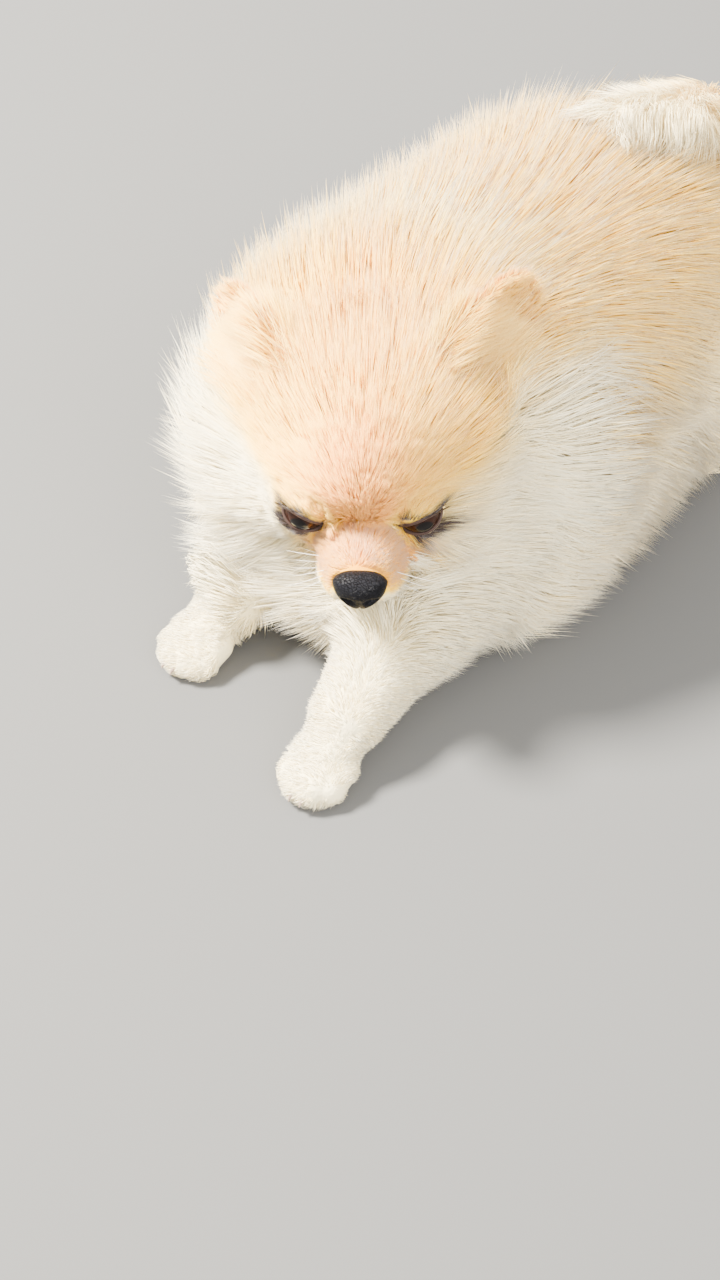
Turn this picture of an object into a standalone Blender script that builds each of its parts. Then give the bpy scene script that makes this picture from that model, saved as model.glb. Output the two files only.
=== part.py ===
"""A pomeranian puppy lying on its belly, forelegs stretched out in front, head turned to its left.

The puppy faces -Y and +Z is up. Each node of flesh starts as a group of blobs, ellipsoids and tapered
tubes, each with the depth of the coat over it. A voxel remesh joins a node's blobs into one form.
Nodes that touch are parted by a plane, a cone or each other's grown form, GAP apart.
"""

import math
from collections import namedtuple

import bmesh
import bpy
from mathutils import Matrix, Vector

MM = 0.001
GAP = 0.3 * MM  # left between two nodes that touch
ROOM_SLACK = 1 * MM  # more, where a coarser copy of a form cuts its neighbours

# The head's own frame has -Y along the muzzle, +X to the puppy's left and its origin in mid skull
HEAD_AT = Vector((2.5, -80, 67)) * MM
HEAD_TURN = math.radians(38)  # to the puppy's left
HEAD_NOD = math.radians(8)  # downwards

# The face, in the head's frame
EYE_AT = Vector((15.5, -18.5, 3.5)) * MM  # of the left eye
EYE_RADIUS = 6.3 * MM
EYE_OUTWARD = math.radians(18)  # the way each eye looks, away from the muzzle
LID_THICKNESS = 1.1 * MM
LID_OPENING = Vector((12.0, 14.0, 7.0)) * MM
LID_SLANT = math.radians(14)  # outer corner up
NOSE_AT = Vector((0, -40, -4.5)) * MM
NOSE_SIZE = Vector((13.5, 9, 9.5)) * MM
NOSTRIL_AT = Vector((3.6, -4.0, 0.2)) * MM  # from the middle of the nose
NOSTRIL_SIZE = Vector((2.6, 4, 2.2)) * MM
MOUTH_AT = Vector((0, -24, -13.5)) * MM
MOUTH_ROUND = Vector((10.5, 14.5)) * MM  # half the mouth's width, and its reach forwards
MOUTH_ARC = math.radians(200)
MOUTH_RISE = 1.0 * MM  # at the front, under the nose
MOUTH_WIDTH = 0.9 * MM
MOUTH_STEPS = 14
EAR_BASE = Vector((22, 11, 19)) * MM  # of the left ear
EAR_TIP = Vector((45, 31, 42)) * MM
EAR_WIDTH = 23 * MM
EAR_THICKNESS = 1.8 * MM
EAR_CUP = 5 * MM  # how far the rims stand ahead of the middle of the ear

# Where the head meets the neck, in the head's frame, and where the neck meets the torso
NAPE_AT = Vector((0, 13, -4)) * MM
NAPE_NORMAL = Vector((0, 0.87, -0.5))
COLLAR_TIP = Vector((-6, -72, 48)) * MM  # of the cone, open backwards, that holds the torso
COLLAR_SLOPE = 1.5  # of its radius to its length
REACH = 400 * MM  # past everything, for cutters

# Colours, as linear red, green, blue
CREAM = (0.86, 0.66, 0.42)
WHITE_FUR = (0.90, 0.84, 0.72)
ORANGE_FUR = (0.83, 0.50, 0.24)
BLACK_SKIN = (0.012, 0.011, 0.012)
DARK_EYE = (0.010, 0.006, 0.005)

SIDES = {"left": 1, "right": -1}

# A blob is a ball at one point, or a tube along several. Sizes are in millimetres: radii are the
# skin's, coat is the depth of the coat over it, and lean moves the blob by this share of what it grows
Blob = namedtuple("Blob", "points radii coat lean", defaults=((0, 0, 0),))

HEAD = (
    Blob([(0, 3, 5)], (25, 25, 20), 16, (0, 0.85, 0.2)),
    Blob([(0, -11, 8)], (17, 12, 11), 3, (0, 0.8, 0.3)),
    Blob([(14.5, -13, 2)], (9.5, 11, 9.5), 1.5),
    Blob([(-14.5, -13, 2)], (9.5, 11, 9.5), 1.5),
    Blob([(17, 2, -8)], (12, 17, 13), 15, (0.3, 0.8, -0.2)),
    Blob([(-17, 2, -8)], (12, 17, 13), 15, (-0.3, 0.8, -0.2)),
    Blob([(0, -27, -5)], (9.5, 14, 7.5), 1),
    Blob([(5, -30, -10)], (6, 9, 5), 1),
    Blob([(-5, -30, -10)], (6, 9, 5), 1),
    Blob([(0, -25, -15)], (7, 11.5, 4.5), 1),
)
RUFF = (Blob([(-8, -48, 52), (-3, -68, 58)], (30, 28), 33),)
BIB = (
    Blob([(0, -66, 34)], (26, 22, 24), 20),
    Blob([(-1, -80, 22)], (15, 14, 18), 14),
)
TORSO = (
    Blob([(-9, -32, 50), (-10, 42, 43)], (36, 34), 28),
    Blob([(13, -42, 22), (12, 48, 21)], (20, 20), 22),
    Blob([(-31, -42, 22), (-31, 48, 21)], (20, 20), 22),
)
TAIL = (
    Blob([(-8, 68, 52), (-6, 88, 74)], (9, 7), 5),
    Blob([(-6, 88, 74), (0, 86, 93)], (7, 6), 9),
    Blob([(0, 86, 93), (2, 68, 101), (-8, 52, 103)], (6, 5, 4), 11),
)
# Shoulder, elbow, wrist and toe tips of each foreleg, then ankle and toe tips of each hind leg
FORELEG = {
    "left": ((22, -46, 36), (26, -82, 17), (30, -121, 12), (33.5, -146, 0)),
    "right": ((-30, -46, 36), (-30, -76, 17), (-26, -108, 12), (-27.5, -134, 0)),
}
HINDLEG = {
    "left": ((32, 62, 8), (38, 37, 0)),
    "right": ((-52, 62, 8), (-58, 37, 0)),
}
BODY_MIDDLE = -9.5  # the body lies a little to the right of the line that the paws are set from


def foreleg_blobs(side):
    shoulder, elbow, wrist, _ = FORELEG[side]
    return (
        Blob([shoulder, elbow], (16, 11), 8),
        Blob([elbow, wrist], (10.5, 8), 6),
    )


def hindleg_blobs(side):
    way = SIDES[side]
    ankle = HINDLEG[side][0]
    return (
        Blob([(BODY_MIDDLE + 35 * way, 52, 28)], (17, 26, 24), 14),
        Blob([(BODY_MIDDLE + 36 * way, 76, 11), ankle], (9, 7), 5),
    )


def paw_blobs(wrist, toes, coat):
    """A paw from its wrist or ankle to the tips of its four toes, flat on the floor."""
    heel = Vector(wrist)
    tip = Vector(toes)
    ahead = Vector((tip.x - heel.x, tip.y - heel.y, 0)).normalized()
    across = Vector((-ahead.y, ahead.x, 0))
    pad = Vector((tip.x, tip.y, 5.5)) - ahead * 13
    blobs = [Blob([tuple(heel), tuple(pad)], (6.5, 6.8), coat)]
    for place, back, radius in ((-1.5, 3.0, 4.0), (-0.5, 0, 4.4), (0.5, 0, 4.4), (1.5, 3.0, 4.0)):
        front = Vector((tip.x, tip.y, radius)) - ahead * (back + radius) + across * place * 4.9
        knuckle = front - ahead * 7 + Vector((0, 0, 2))
        blobs.append(Blob([tuple(front), tuple(knuckle)], (radius, radius), coat))
    return blobs


def head_frame():
    turn = Matrix.Rotation(HEAD_TURN, 4, "Z")
    nod = Matrix.Rotation(HEAD_NOD, 4, "X")
    return Matrix.Translation(HEAD_AT) @ turn @ nod


def mirrored(vector, side):
    return Vector((vector.x * SIDES[side], vector.y, vector.z))


def clear_scene():
    for each in list(bpy.data.objects):
        bpy.data.objects.remove(each)


def collection(name):
    made = bpy.data.collections.new(name)
    bpy.context.scene.collection.children.link(made)
    return made


def material(name, colour, roughness):
    made = bpy.data.materials.new(name)
    made.use_nodes = True
    shader = made.node_tree.nodes["Principled BSDF"]
    shader.inputs["Base Color"].default_value = (*colour, 1)
    shader.inputs["Roughness"].default_value = roughness
    shader.inputs["Metallic"].default_value = 0
    return made


def object_of(shape, name, group):
    """A named object in the collection group, from a finished bmesh, which is freed."""
    mesh = bpy.data.meshes.new(name)
    bmesh.ops.recalc_face_normals(shape, faces=shape.faces)
    shape.to_mesh(mesh)
    shape.free()
    made = bpy.data.objects.new(name, mesh)
    group.objects.link(made)
    return made


def apply_modifiers(obj):
    graph = bpy.context.evaluated_depsgraph_get()
    mesh = bpy.data.meshes.new_from_object(obj.evaluated_get(graph), depsgraph=graph)
    obj.modifiers.clear()
    obj.data = mesh


def add_ellipsoid(shape, centre, radii, frame=Matrix.Identity(4), segments=24):
    place = frame @ Matrix.Translation(centre) @ Matrix.Diagonal((*radii, 1))
    rings = segments * 2 // 3
    bmesh.ops.create_uvsphere(shape, u_segments=segments, v_segments=rings, radius=1, matrix=place)


def add_tube(shape, points, radii, frame=Matrix.Identity(4), segments=16, steps=7):
    """A tapered tube with round ends: balls in a row through the points."""
    for i in range(len(points) - 1):
        for k in range(steps + (i == len(points) - 2)):
            share = k / steps
            centre = points[i].lerp(points[i + 1], share)
            radius = radii[i] * (1 - share) + radii[i + 1] * share
            add_ellipsoid(shape, centre, (radius,) * 3, frame, segments)


def form_of(name, blobs, share, group, voxel, triangles, frame=Matrix.Identity(4)):
    """One smooth form from blobs, each grown by share of its coat's depth."""
    shape = bmesh.new()
    for blob in blobs:
        growth = blob.coat * share
        points = [(Vector(point) + Vector(blob.lean) * growth) * MM for point in blob.points]
        radii = [(radius + growth) * MM for radius in blob.radii]
        if len(points) == 1:
            add_ellipsoid(shape, points[0], radii, frame)
        else:
            add_tube(shape, points, radii, frame)
    made = object_of(shape, name, group)
    remesh = made.modifiers.new("join", "REMESH")
    remesh.mode = "VOXEL"
    remesh.voxel_size = voxel
    soften = made.modifiers.new("soften", "SMOOTH")
    soften.factor = 0.5
    soften.iterations = 3
    apply_modifiers(made)
    thin = made.modifiers.new("thin", "DECIMATE")
    thin.ratio = triangles / (2 * len(made.data.polygons))
    thin.use_collapse_triangulate = True
    apply_modifiers(made)
    return made


def grown(obj, by, group):
    """A copy of obj with its surface moved outwards, to cut a neighbour clear of it."""
    shape = bmesh.new()
    shape.from_mesh(obj.data)
    shape.normal_update()
    moved = [vert.co + vert.normal * by * min(vert.calc_shell_factor(), 4) for vert in shape.verts]
    for vert, place in zip(shape.verts, moved):
        vert.co = place
    return object_of(shape, obj.name + "_grown", group)


def boolean(obj, operation, others, solver="MANIFOLD"):
    """Joins or cuts obj with each of the others."""
    batch = bpy.data.collections.new("batch")
    for other in others:
        batch.objects.link(other)
    modifier = obj.modifiers.new(operation.lower(), "BOOLEAN")
    modifier.operation = operation
    modifier.operand_type = "COLLECTION"
    modifier.collection = batch
    modifier.solver = solver
    apply_modifiers(obj)
    bpy.data.collections.remove(batch)


def keep_largest(obj):
    """Leaves only the largest closed surface of obj."""
    shape = bmesh.new()
    shape.from_mesh(obj.data)
    unseen = set(shape.verts)
    islands = []
    while unseen:
        front = [unseen.pop()]
        island = list(front)
        while front:
            for edge in front.pop().link_edges:
                for vert in edge.verts:
                    if vert in unseen:
                        unseen.discard(vert)
                        island.append(vert)
                        front.append(vert)
        islands.append(island)
    islands.sort(key=len, reverse=True)
    for island in islands[1:]:
        bmesh.ops.delete(shape, geom=island, context="VERTS")
    shape.to_mesh(obj.data)
    shape.free()


def eye_place(side):
    """The frame of an eye: -Y is the way it looks."""
    look = Matrix.Rotation(EYE_OUTWARD * SIDES[side], 4, "Z")
    return head_frame() @ Matrix.Translation(mirrored(EYE_AT, side)) @ look


def build_eye(side, group):
    shape = bmesh.new()
    add_ellipsoid(shape, Vector(), (EYE_RADIUS,) * 3, eye_place(side), 18)
    return object_of(shape, "eye_" + side, group)


def lid_of(side, group):
    """A shell's outside, round the eye, to be joined to the head and opened."""
    shape = bmesh.new()
    add_ellipsoid(shape, Vector(), (EYE_RADIUS + LID_THICKNESS,) * 3, eye_place(side), 20)
    return object_of(shape, "lid", group)


def lid_opening(side, group):
    """The almond between the lids, as a cutter: two tilted discs meet at each corner."""
    shape = bmesh.new()
    slant = Matrix.Rotation(LID_SLANT * -SIDES[side], 4, "Y")
    centre = Vector((0, -LID_OPENING.y / 2, 0))
    add_ellipsoid(shape, centre, LID_OPENING / 2, eye_place(side) @ slant, 20)
    return object_of(shape, "opening", group)


def build_nose(parts, helpers):
    shape = bmesh.new()
    add_ellipsoid(shape, NOSE_AT, NOSE_SIZE / 2, head_frame(), 20)
    nose = object_of(shape, "nose", parts)
    cutters = []
    for side in SIDES:
        shape = bmesh.new()
        centre = NOSE_AT + mirrored(NOSTRIL_AT, side)
        add_ellipsoid(shape, centre, NOSTRIL_SIZE / 2, head_frame(), 10)
        cutters.append(object_of(shape, "nostril", helpers))
    boolean(nose, "DIFFERENCE", cutters)
    return nose


def rod(name, points, radius, group):
    """A round rod bent through the points."""
    curve = bpy.data.curves.new(name, "CURVE")
    curve.dimensions = "3D"
    curve.bevel_depth = radius
    curve.bevel_resolution = 1
    curve.use_fill_caps = True
    line = curve.splines.new("POLY")
    line.points.add(len(points) - 1)
    for place, point in zip(line.points, points):
        place.co = (*point, 1)
    made = bpy.data.objects.new(name, curve)
    group.objects.link(made)
    graph = bpy.context.evaluated_depsgraph_get()
    mesh = bpy.data.meshes.new_from_object(made.evaluated_get(graph), depsgraph=graph)
    bpy.data.objects.remove(made)
    shape = bmesh.new()
    shape.from_mesh(mesh)
    bmesh.ops.remove_doubles(shape, verts=shape.verts, dist=radius / 100)
    return object_of(shape, name, group)


def mouth_groove(group):
    """The line of the mouth: a rod bent round the muzzle, from one corner to the other."""
    points = []
    for i in range(MOUTH_STEPS + 1):
        angle = MOUTH_ARC * (i / MOUTH_STEPS - 0.5)
        along = Vector((math.sin(angle), -math.cos(angle), 0))
        rise = MOUTH_RISE * math.cos(angle)
        place = Vector((along.x * MOUTH_ROUND.x, along.y * MOUTH_ROUND.y, rise)) + MOUTH_AT
        points.append(head_frame() @ place)
    return rod("groove", points, MOUTH_WIDTH / 2, group)


def build_ear(side, group):
    """A cupped leaf, open forwards and outwards, with its base sunk in the head."""
    base = mirrored(EAR_BASE, side)
    tip = mirrored(EAR_TIP, side)
    up = (tip - base).normalized()
    length = (tip - base).length
    ahead = mirrored(Vector((0.35, -0.9, 0.15)), side)
    ahead = (ahead - up * ahead.dot(up)).normalized()
    across = up.cross(ahead)
    shape = bmesh.new()
    columns, rows = 6, 8
    bmesh.ops.create_grid(shape, x_segments=columns, y_segments=rows, size=1)
    for vert in shape.verts:
        u = vert.co.x
        v = (vert.co.y + 1) / 2
        width = EAR_WIDTH / 2 * (0.16 + 0.84 * math.sqrt(max(1 - v**2.4, 0))) * (0.8 + 0.35 * min(v * 2.5, 1))
        forward = EAR_CUP * (u * u - 0.6) * (1 - 0.55 * v) - 2.5 * MM * v * v
        vert.co = base + up * length * (v * 1.12 - 0.12) + across * width * u + ahead * forward
    bmesh.ops.transform(shape, matrix=head_frame(), verts=shape.verts)
    ear = object_of(shape, "ear_" + side, group)
    thick = ear.modifiers.new("thick", "SOLIDIFY")
    thick.thickness = EAR_THICKNESS
    thick.offset = 0
    triangles = ear.modifiers.new("triangles", "TRIANGULATE")
    triangles.quad_method = "FIXED"
    apply_modifiers(ear)
    return ear


def block(name, point, normal, group):
    """A huge block that fills the side of a plane that its normal points to."""
    shape = bmesh.new()
    turn = normal.to_track_quat("Z", "Y").to_matrix().to_4x4()
    place = Matrix.Translation(point + normal.normalized() * REACH / 2) @ turn
    bmesh.ops.create_cube(shape, size=REACH, matrix=place)
    return object_of(shape, name, group)


def collar_cone(name, forward, group):
    """The cone, open backwards, that parts neck and torso, its tip moved forward by this much."""
    shape = bmesh.new()
    turn = Matrix.Rotation(math.radians(90), 4, "X")
    middle = COLLAR_TIP + Vector((0, REACH / 2 - forward, 0))
    place = Matrix.Translation(middle) @ turn
    base = REACH * COLLAR_SLOPE
    bmesh.ops.create_cone(
        shape, cap_ends=True, segments=32, radius1=base, radius2=0, depth=REACH, matrix=place
    )
    return object_of(shape, name, group)


def centre_on_floor(nodes):
    """Moves all nodes so that the origin is under the middle of the whole, on the floor."""
    corners = [vertex.co for node in nodes for vertex in node.data.vertices]
    low = Vector([min(corner[k] for corner in corners) for k in range(3)])
    high = Vector([max(corner[k] for corner in corners) for k in range(3)])
    shift = Vector((-(low.x + high.x) / 2, -(low.y + high.y) / 2, -low.z))
    for node in nodes:
        node.data.transform(Matrix.Translation(shift))


def finish_materials(nodes):
    looks = {
        "eye": ("dark eye", DARK_EYE, 0.1),
        "nose": ("black nose leather", BLACK_SKIN, 0.4),
        "ear": ("orange fur", ORANGE_FUR, 0.9),
        "paw": ("white fur", WHITE_FUR, 0.9),
        "coat": ("cream fur", CREAM, 0.9),
    }
    white_nodes = ("forepaw", "hindpaw", "foreleg", "tail")
    for node in nodes:
        word = node.name.split("_")[0]
        kind = "paw" if word in white_nodes else word
        name, colour, roughness = looks.get(kind, looks["coat"])
        node.data.materials.clear()
        node.data.materials.append(material(name + " of " + node.name, colour, roughness))
        node.data.shade_smooth()


def main():
    clear_scene()
    parts = collection("pomeranian")
    helpers = collection("helpers")
    full = 1.0
    frame = head_frame()
    nape = frame @ NAPE_AT
    nape_normal = (frame.to_3x3() @ NAPE_NORMAL).normalized()
    floor = block("floor", Vector(), Vector((0, 0, -1)), helpers)
    behind = block("behind", nape - nape_normal * GAP / 2, nape_normal, helpers)
    cutters = [floor]
    nodes = []

    def finish(node, more=(), room=None):
        """Cuts a node clear of those before it, and keeps the room that those after it leave it."""
        room = room or grown(node, GAP, helpers)
        boolean(node, "DIFFERENCE", [*cutters, *more])
        keep_largest(node)
        cutters.append(room)
        nodes.append(node)

    for side in SIDES:
        finish(build_eye(side, parts))
    finish(build_nose(parts, helpers))
    for side in SIDES:
        finish(build_ear(side, parts))
    for side in SIDES:
        wrist, toes = FORELEG[side][2:]
        finish(form_of("forepaw_" + side, paw_blobs(wrist, toes, 1.5), 1, parts, 1 * MM, 400))
        ankle, toes = HINDLEG[side]
        finish(form_of("hindpaw_" + side, paw_blobs(ankle, toes, 1.5), 1, parts, 1 * MM, 400))

    head = form_of("head", HEAD, full, parts, 1.2 * MM, 2400, frame)
    boolean(head, "UNION", [lid_of(side, helpers) for side in SIDES])
    openings = [lid_opening(side, helpers) for side in SIDES]
    room = form_of("room", HEAD, full, helpers, 2 * MM, 600, frame)
    room = grown(room, GAP + ROOM_SLACK, helpers)
    boolean(room, "DIFFERENCE", [behind])
    finish(head, [*openings, mouth_groove(helpers), behind], room)

    for side in SIDES:
        finish(form_of("foreleg_" + side, foreleg_blobs(side), full, parts, 2 * MM, 240))
        finish(form_of("hindleg_" + side, hindleg_blobs(side), full, parts, 2 * MM, 240))
    finish(form_of("tail", TAIL, full, parts, 2 * MM, 300))

    neck = form_of("neck", RUFF, full, parts, 3 * MM, 400)
    ahead = block("ahead", nape + nape_normal * GAP / 2, -nape_normal, helpers)
    boolean(neck, "DIFFERENCE", [ahead])
    boolean(neck, "UNION", [form_of("bib", BIB, full, helpers, 3 * MM, 300)])
    finish(neck, [collar_cone("collar", GAP, helpers)], collar_cone("unused", 0, helpers))
    cutters.pop()

    torso = form_of("torso", TORSO, full, parts, 4 * MM, 700)
    boolean(torso, "INTERSECT", [collar_cone("collar", 0, helpers)])
    finish(torso)

    for helper in list(helpers.objects):
        bpy.data.objects.remove(helper)
    finish_materials(nodes)
    centre_on_floor(nodes)


main()
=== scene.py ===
"""The looks of a cream pomeranian puppy that lies on its belly with its head turned to its left.

One skin takes the place of all the flesh. It is grown from the same blobs as the solids and lies inside
them. The coat is made of thin closed tufts rooted in the skin: guide tufts walk over the body along the
lie of the coat and rise to the animal's outline, and the rest follow the guides nearest to their roots.
"""
import math
from collections import namedtuple
from functools import lru_cache

import bmesh
import bpy
import numpy as np
from bpy.props import FloatProperty, FloatVectorProperty, IntProperty, PointerProperty
from mathutils import Matrix, Vector
from mathutils.bvhtree import BVHTree
from mathutils.kdtree import KDTree


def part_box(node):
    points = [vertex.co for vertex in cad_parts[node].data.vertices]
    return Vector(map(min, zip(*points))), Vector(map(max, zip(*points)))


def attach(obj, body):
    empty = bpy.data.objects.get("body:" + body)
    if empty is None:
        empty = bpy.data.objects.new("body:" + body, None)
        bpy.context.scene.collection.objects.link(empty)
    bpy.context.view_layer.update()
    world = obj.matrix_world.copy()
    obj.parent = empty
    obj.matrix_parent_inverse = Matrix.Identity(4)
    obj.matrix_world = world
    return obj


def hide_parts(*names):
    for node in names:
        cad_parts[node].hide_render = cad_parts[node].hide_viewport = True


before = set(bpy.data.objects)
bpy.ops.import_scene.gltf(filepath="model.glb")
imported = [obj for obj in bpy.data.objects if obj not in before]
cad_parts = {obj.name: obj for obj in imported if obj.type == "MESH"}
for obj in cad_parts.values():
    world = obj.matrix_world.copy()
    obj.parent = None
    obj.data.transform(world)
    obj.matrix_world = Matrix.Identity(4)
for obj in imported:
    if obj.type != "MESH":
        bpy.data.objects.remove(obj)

bl_info = {
    "name": "Pomeranian puppy",
    "version": (1, 0, 0),
    "blender": (4, 5, 0),
    "location": "View3D > Sidebar > Puppy",
    "description": "Skin, coat, eyes, nose, ears and studio of a life-size pomeranian puppy",
    "category": "Add Mesh",
}

MM = 0.001
SIDES = {"left": 1, "right": -1}
FLESH = ["head", "neck", "torso", "tail"]
FLESH += [limb + side for limb in ("foreleg_", "hindleg_", "forepaw_", "hindpaw_") for side in SIDES]

# Sizes below are in millimetres, in the puppy's own frame: it faces -Y, +Z is up and +X is its left
HEAD_AT = (2.5, -80, 67)
HEAD_TURN = math.radians(38)
HEAD_NOD = math.radians(8)

# In the head's frame, whose -Y runs along the muzzle
EYE_AT = Vector((15.5, -18.5, 3.5))
EYE_RADIUS = 6.3
EYE_OUTWARD = math.radians(18)
LID_THICKNESS = 0.9
LID_HALF_WIDTH = 6.2
LID_RISE = 3.5  # of the upper lid's margin over the middle of the slit
LID_DROP = 2.6
LID_SLANT = math.radians(20)  # outer corner up
CORNEA_RADIUS = 4.0
CORNEA_RISE = 0.45  # of the cornea over the ball
SOCKET_SINK = 1.2  # of the skin behind the slit, under the ball's surface
LASHES = 13
LASH_LENGTH = 3.4
LASH = ((0, 0.13), (0.5, 0.10), (1, 0.02))  # shares of the length, with radii
NOSE_AT = Vector((0, -40, -4.5))
NOSE_SIZE = Vector((13, 10, 11.5))
NOSTRIL_AT = Vector((3.4, -3.6, -0.2))
NOSTRIL_DEPTH = 2.6
NOSE_WING = 0.35  # that the leather stands out beside each nostril
NOSE_GROOVE = 0.55
MOUTH_AT = Vector((0, -24, -13.5))
MOUTH_ROUND = (10.5, 14.5)
LIP_HEIGHT = 0.6  # of the line of the lips over the mouth's middle
LIP_WIDTH = 0.9
LIP_DEPTH = 1.1
LIP_ARC = math.radians(200)
WHISKER_LENGTH = (10, 17)
WHISKER = ((0, 0.10), (0.25, 0.09), (0.5, 0.07), (0.75, 0.05), (1, 0.015))
EAR_BASE = Vector((22, 11, 19))
EAR_TIPS = {"left": Vector((44, 31, 41)), "right": Vector((41, 34, 30))}  # the right ear is laid back
EAR_WIDTH = 23
EAR_THICKNESS = 1.4
EAR_CUP = 5
EAR_TUFTS = 7000  # on each ear
EAR_TUFT_WIDTH = 0.26
FACE_MIDDLE = Vector((0, -34, -2))  # the coat of head and neck lies away from here
NAPE_AT = Vector((0, 13, -4))
NAPE_NORMAL = Vector((0, 0.87, -0.5))
RUFF_FACE = 14  # the depth of the ruff's coat ahead of the nape

# A blob is a ball at one point, or a tube along several. Radii are the flesh's, coat is the depth of the
# coat over it, and lean moves the blob by this share of what it grows
Blob = namedtuple("Blob", "points radii coat lean", defaults=((0, 0, 0),))

HEAD = (
    Blob([(0, 3, 5)], (25, 25, 20), 16, (0, 0.85, 0.2)),
    Blob([(0, -11, 8)], (17, 12, 11), 3, (0, 0.8, 0.3)),
    Blob([(14.5, -13, 2)], (9.5, 11, 9.5), 1.5),
    Blob([(-14.5, -13, 2)], (9.5, 11, 9.5), 1.5),
    Blob([(17, 2, -8)], (12, 17, 13), 15, (0.3, 0.8, -0.2)),
    Blob([(-17, 2, -8)], (12, 17, 13), 15, (-0.3, 0.8, -0.2)),
    Blob([(0, -27, -5)], (9.5, 14, 7.5), 1),
    Blob([(5, -30, -10)], (6, 9, 5), 1),
    Blob([(-5, -30, -10)], (6, 9, 5), 1),
    Blob([(0, -25, -15)], (7, 11.5, 4.5), 1),
)
RUFF = (
    Blob([(-11, -44, 53), (-7, -66, 59)], (33, 30), 37),
    Blob([(16, -38, 46)], (22, 20, 27), 32),
)
BIB = (
    Blob([(0, -66, 34)], (26, 22, 24), 20),
    Blob([(-1, -80, 22)], (15, 14, 18), 14),
)
TORSO = (
    Blob([(-10, -32, 50), (-11, 44, 44)], (36, 34), 34),
    Blob([(16, -40, 24), (12, 48, 21)], (22, 20), 25),
    Blob([(-33, -40, 24), (-32, 48, 21)], (20, 20), 25),
)
TAIL = (
    Blob([(-8, 68, 52), (-6, 88, 74)], (11, 8), 3),
    Blob([(-6, 88, 74), (0, 86, 90)], (7, 6), 9),
    Blob([(0, 86, 90), (2, 68, 99), (-8, 52, 102)], (6, 5, 4), 11),
)
FORELEG = {
    "left": ((22, -46, 36), (23, -84, 18), (30, -121, 12), (33.5, -146, 0)),
    "right": ((-30, -46, 36), (-30, -76, 17), (-26, -108, 12), (-27.5, -134, 0)),
}
HINDLEG = {
    "left": ((32, 62, 8), (38, 37, 0)),
    "right": ((-52, 62, 8), (-58, 37, 0)),
}
BODY_MIDDLE = -9.5
# Each toe's place across the paw, how far its tip stays back and its radius
TOES = ((-1.5, 3.0, 5.0), (-0.5, 0, 5.4), (0.5, 0, 5.4), (1.5, 3.0, 5.0))
TOE_SPREAD = 3.7
TOE_SINK = 1.5  # of a toe's ball in the paw's tip and in the floor
TOE_LENGTH = 7
KNUCKLE_RISE = 2
PAW_RADII = (9.2, 8.0)
PAD_HEIGHT = 5.5
PAD_BACK = 13  # from the toes' tips
CLAW = ((0, 0.2, 0.9), (0.9, 0.3, 0.85), (1.7, 0, 0.65), (2.4, -0.7, 0.4), (2.9, -1.4, 0.12))

# Coat
SKIN_SHARE = 0.3  # of the coat's depth that the skin stands out from the bare flesh
SKIN_VOXEL = 0.9
SKIN_TRIANGLES = 120000
OUTLINE_VOXEL = 2.2
OUTLINE_TRIANGLES = 9000
RUFF_VOXEL = 2
RUFF_TRIANGLES = 8000
BALL_SPACING = 2  # along a tube of balls
LEAST_BALLS = 7
FLOOR_GAP = 0.3  # that the skin keeps over the floor
LEAST_DEPTH = 1.2  # of the coat, where the fur is shortest
MOST_DEPTH = 25
COAT_REACH = (71.5, 131, 123)  # from the part's origin, of the coat's tips
GUIDES = 5200
WALK_STEPS = 6
SHORT_RUN = 2.6  # of a tuft over the body, where the coat has no depth
CLUMP = 14  # tufts in each clump
STATIONS = (0, 3, 6)  # steps of a walk at which a tuft has corners, the last one its tip
RING_WIDTHS = (0.8, 0.9)  # of a tuft at its first stations, as shares of its width
RIDGE_SHARE = 0.75  # of a tuft's half width, that its ridge stands up
MOST_TUFTS = 19500  # in one piece, to stay under 200,000 triangles
FUR_COLOURS = ("White", "Cream", "Orange", "Pink", "Dark")
FUR_MARKS = ("Warmth", "Pinkness", "Darkness", "Along", "Chance")
FUR_PATCHES = 38  # scale of the warmer and paler patches
NOSE_PEBBLES = 1150
PATCH = 0.003  # across, of each tuft's place on the OFBake map
UNWRAP_TRIANGLES = 5000

# How warm each marking makes the coat: 0 is white, 0.55 is cream and 1 is orange
WARMTH = {
    "head": 0.10,
    "crown": 0.54,
    "forehead": 0.12,
    "muzzle": 0.74,
    # brow and stop: a tan tint, partly the coat's own colour and partly painted shade under the overhanging
    # brow fur
    "brow_tan_and_shade": 0.22,
    "stop_tan_and_shade": 0.6,
    "cheek": 0.8,
    "body": 0.09,
    "back": 0.36,
    "flank": 0.15,
    "eye": 0.12,
}

# Camera, as the photo shows the puppy, in the puppy's frame
CAMERA_AT = (260.4, -389.4, 468.9)
CAMERA_PITCH = math.radians(50)  # looking down
CAMERA_YAW = math.radians(40)
CAMERA_LENS = 56.25
SENSOR = 36

# Lights, in metres from the middle of the puppy: to the camera's right, away from it and up
LIT_MIDDLE = Vector((0, -0.02, 0.06))
KEY_AT = (-0.95, 0.25, 1.15)
KEY_SIZE = 0.35
FILL_AT = (0.7, -0.9, 1.0)
FILL_SIZE = 1.2
FLOOR_REACH = 6  # metres, from its middle to its edges
FLOOR_DROP = 0.0004  # metres, under the puppy

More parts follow.
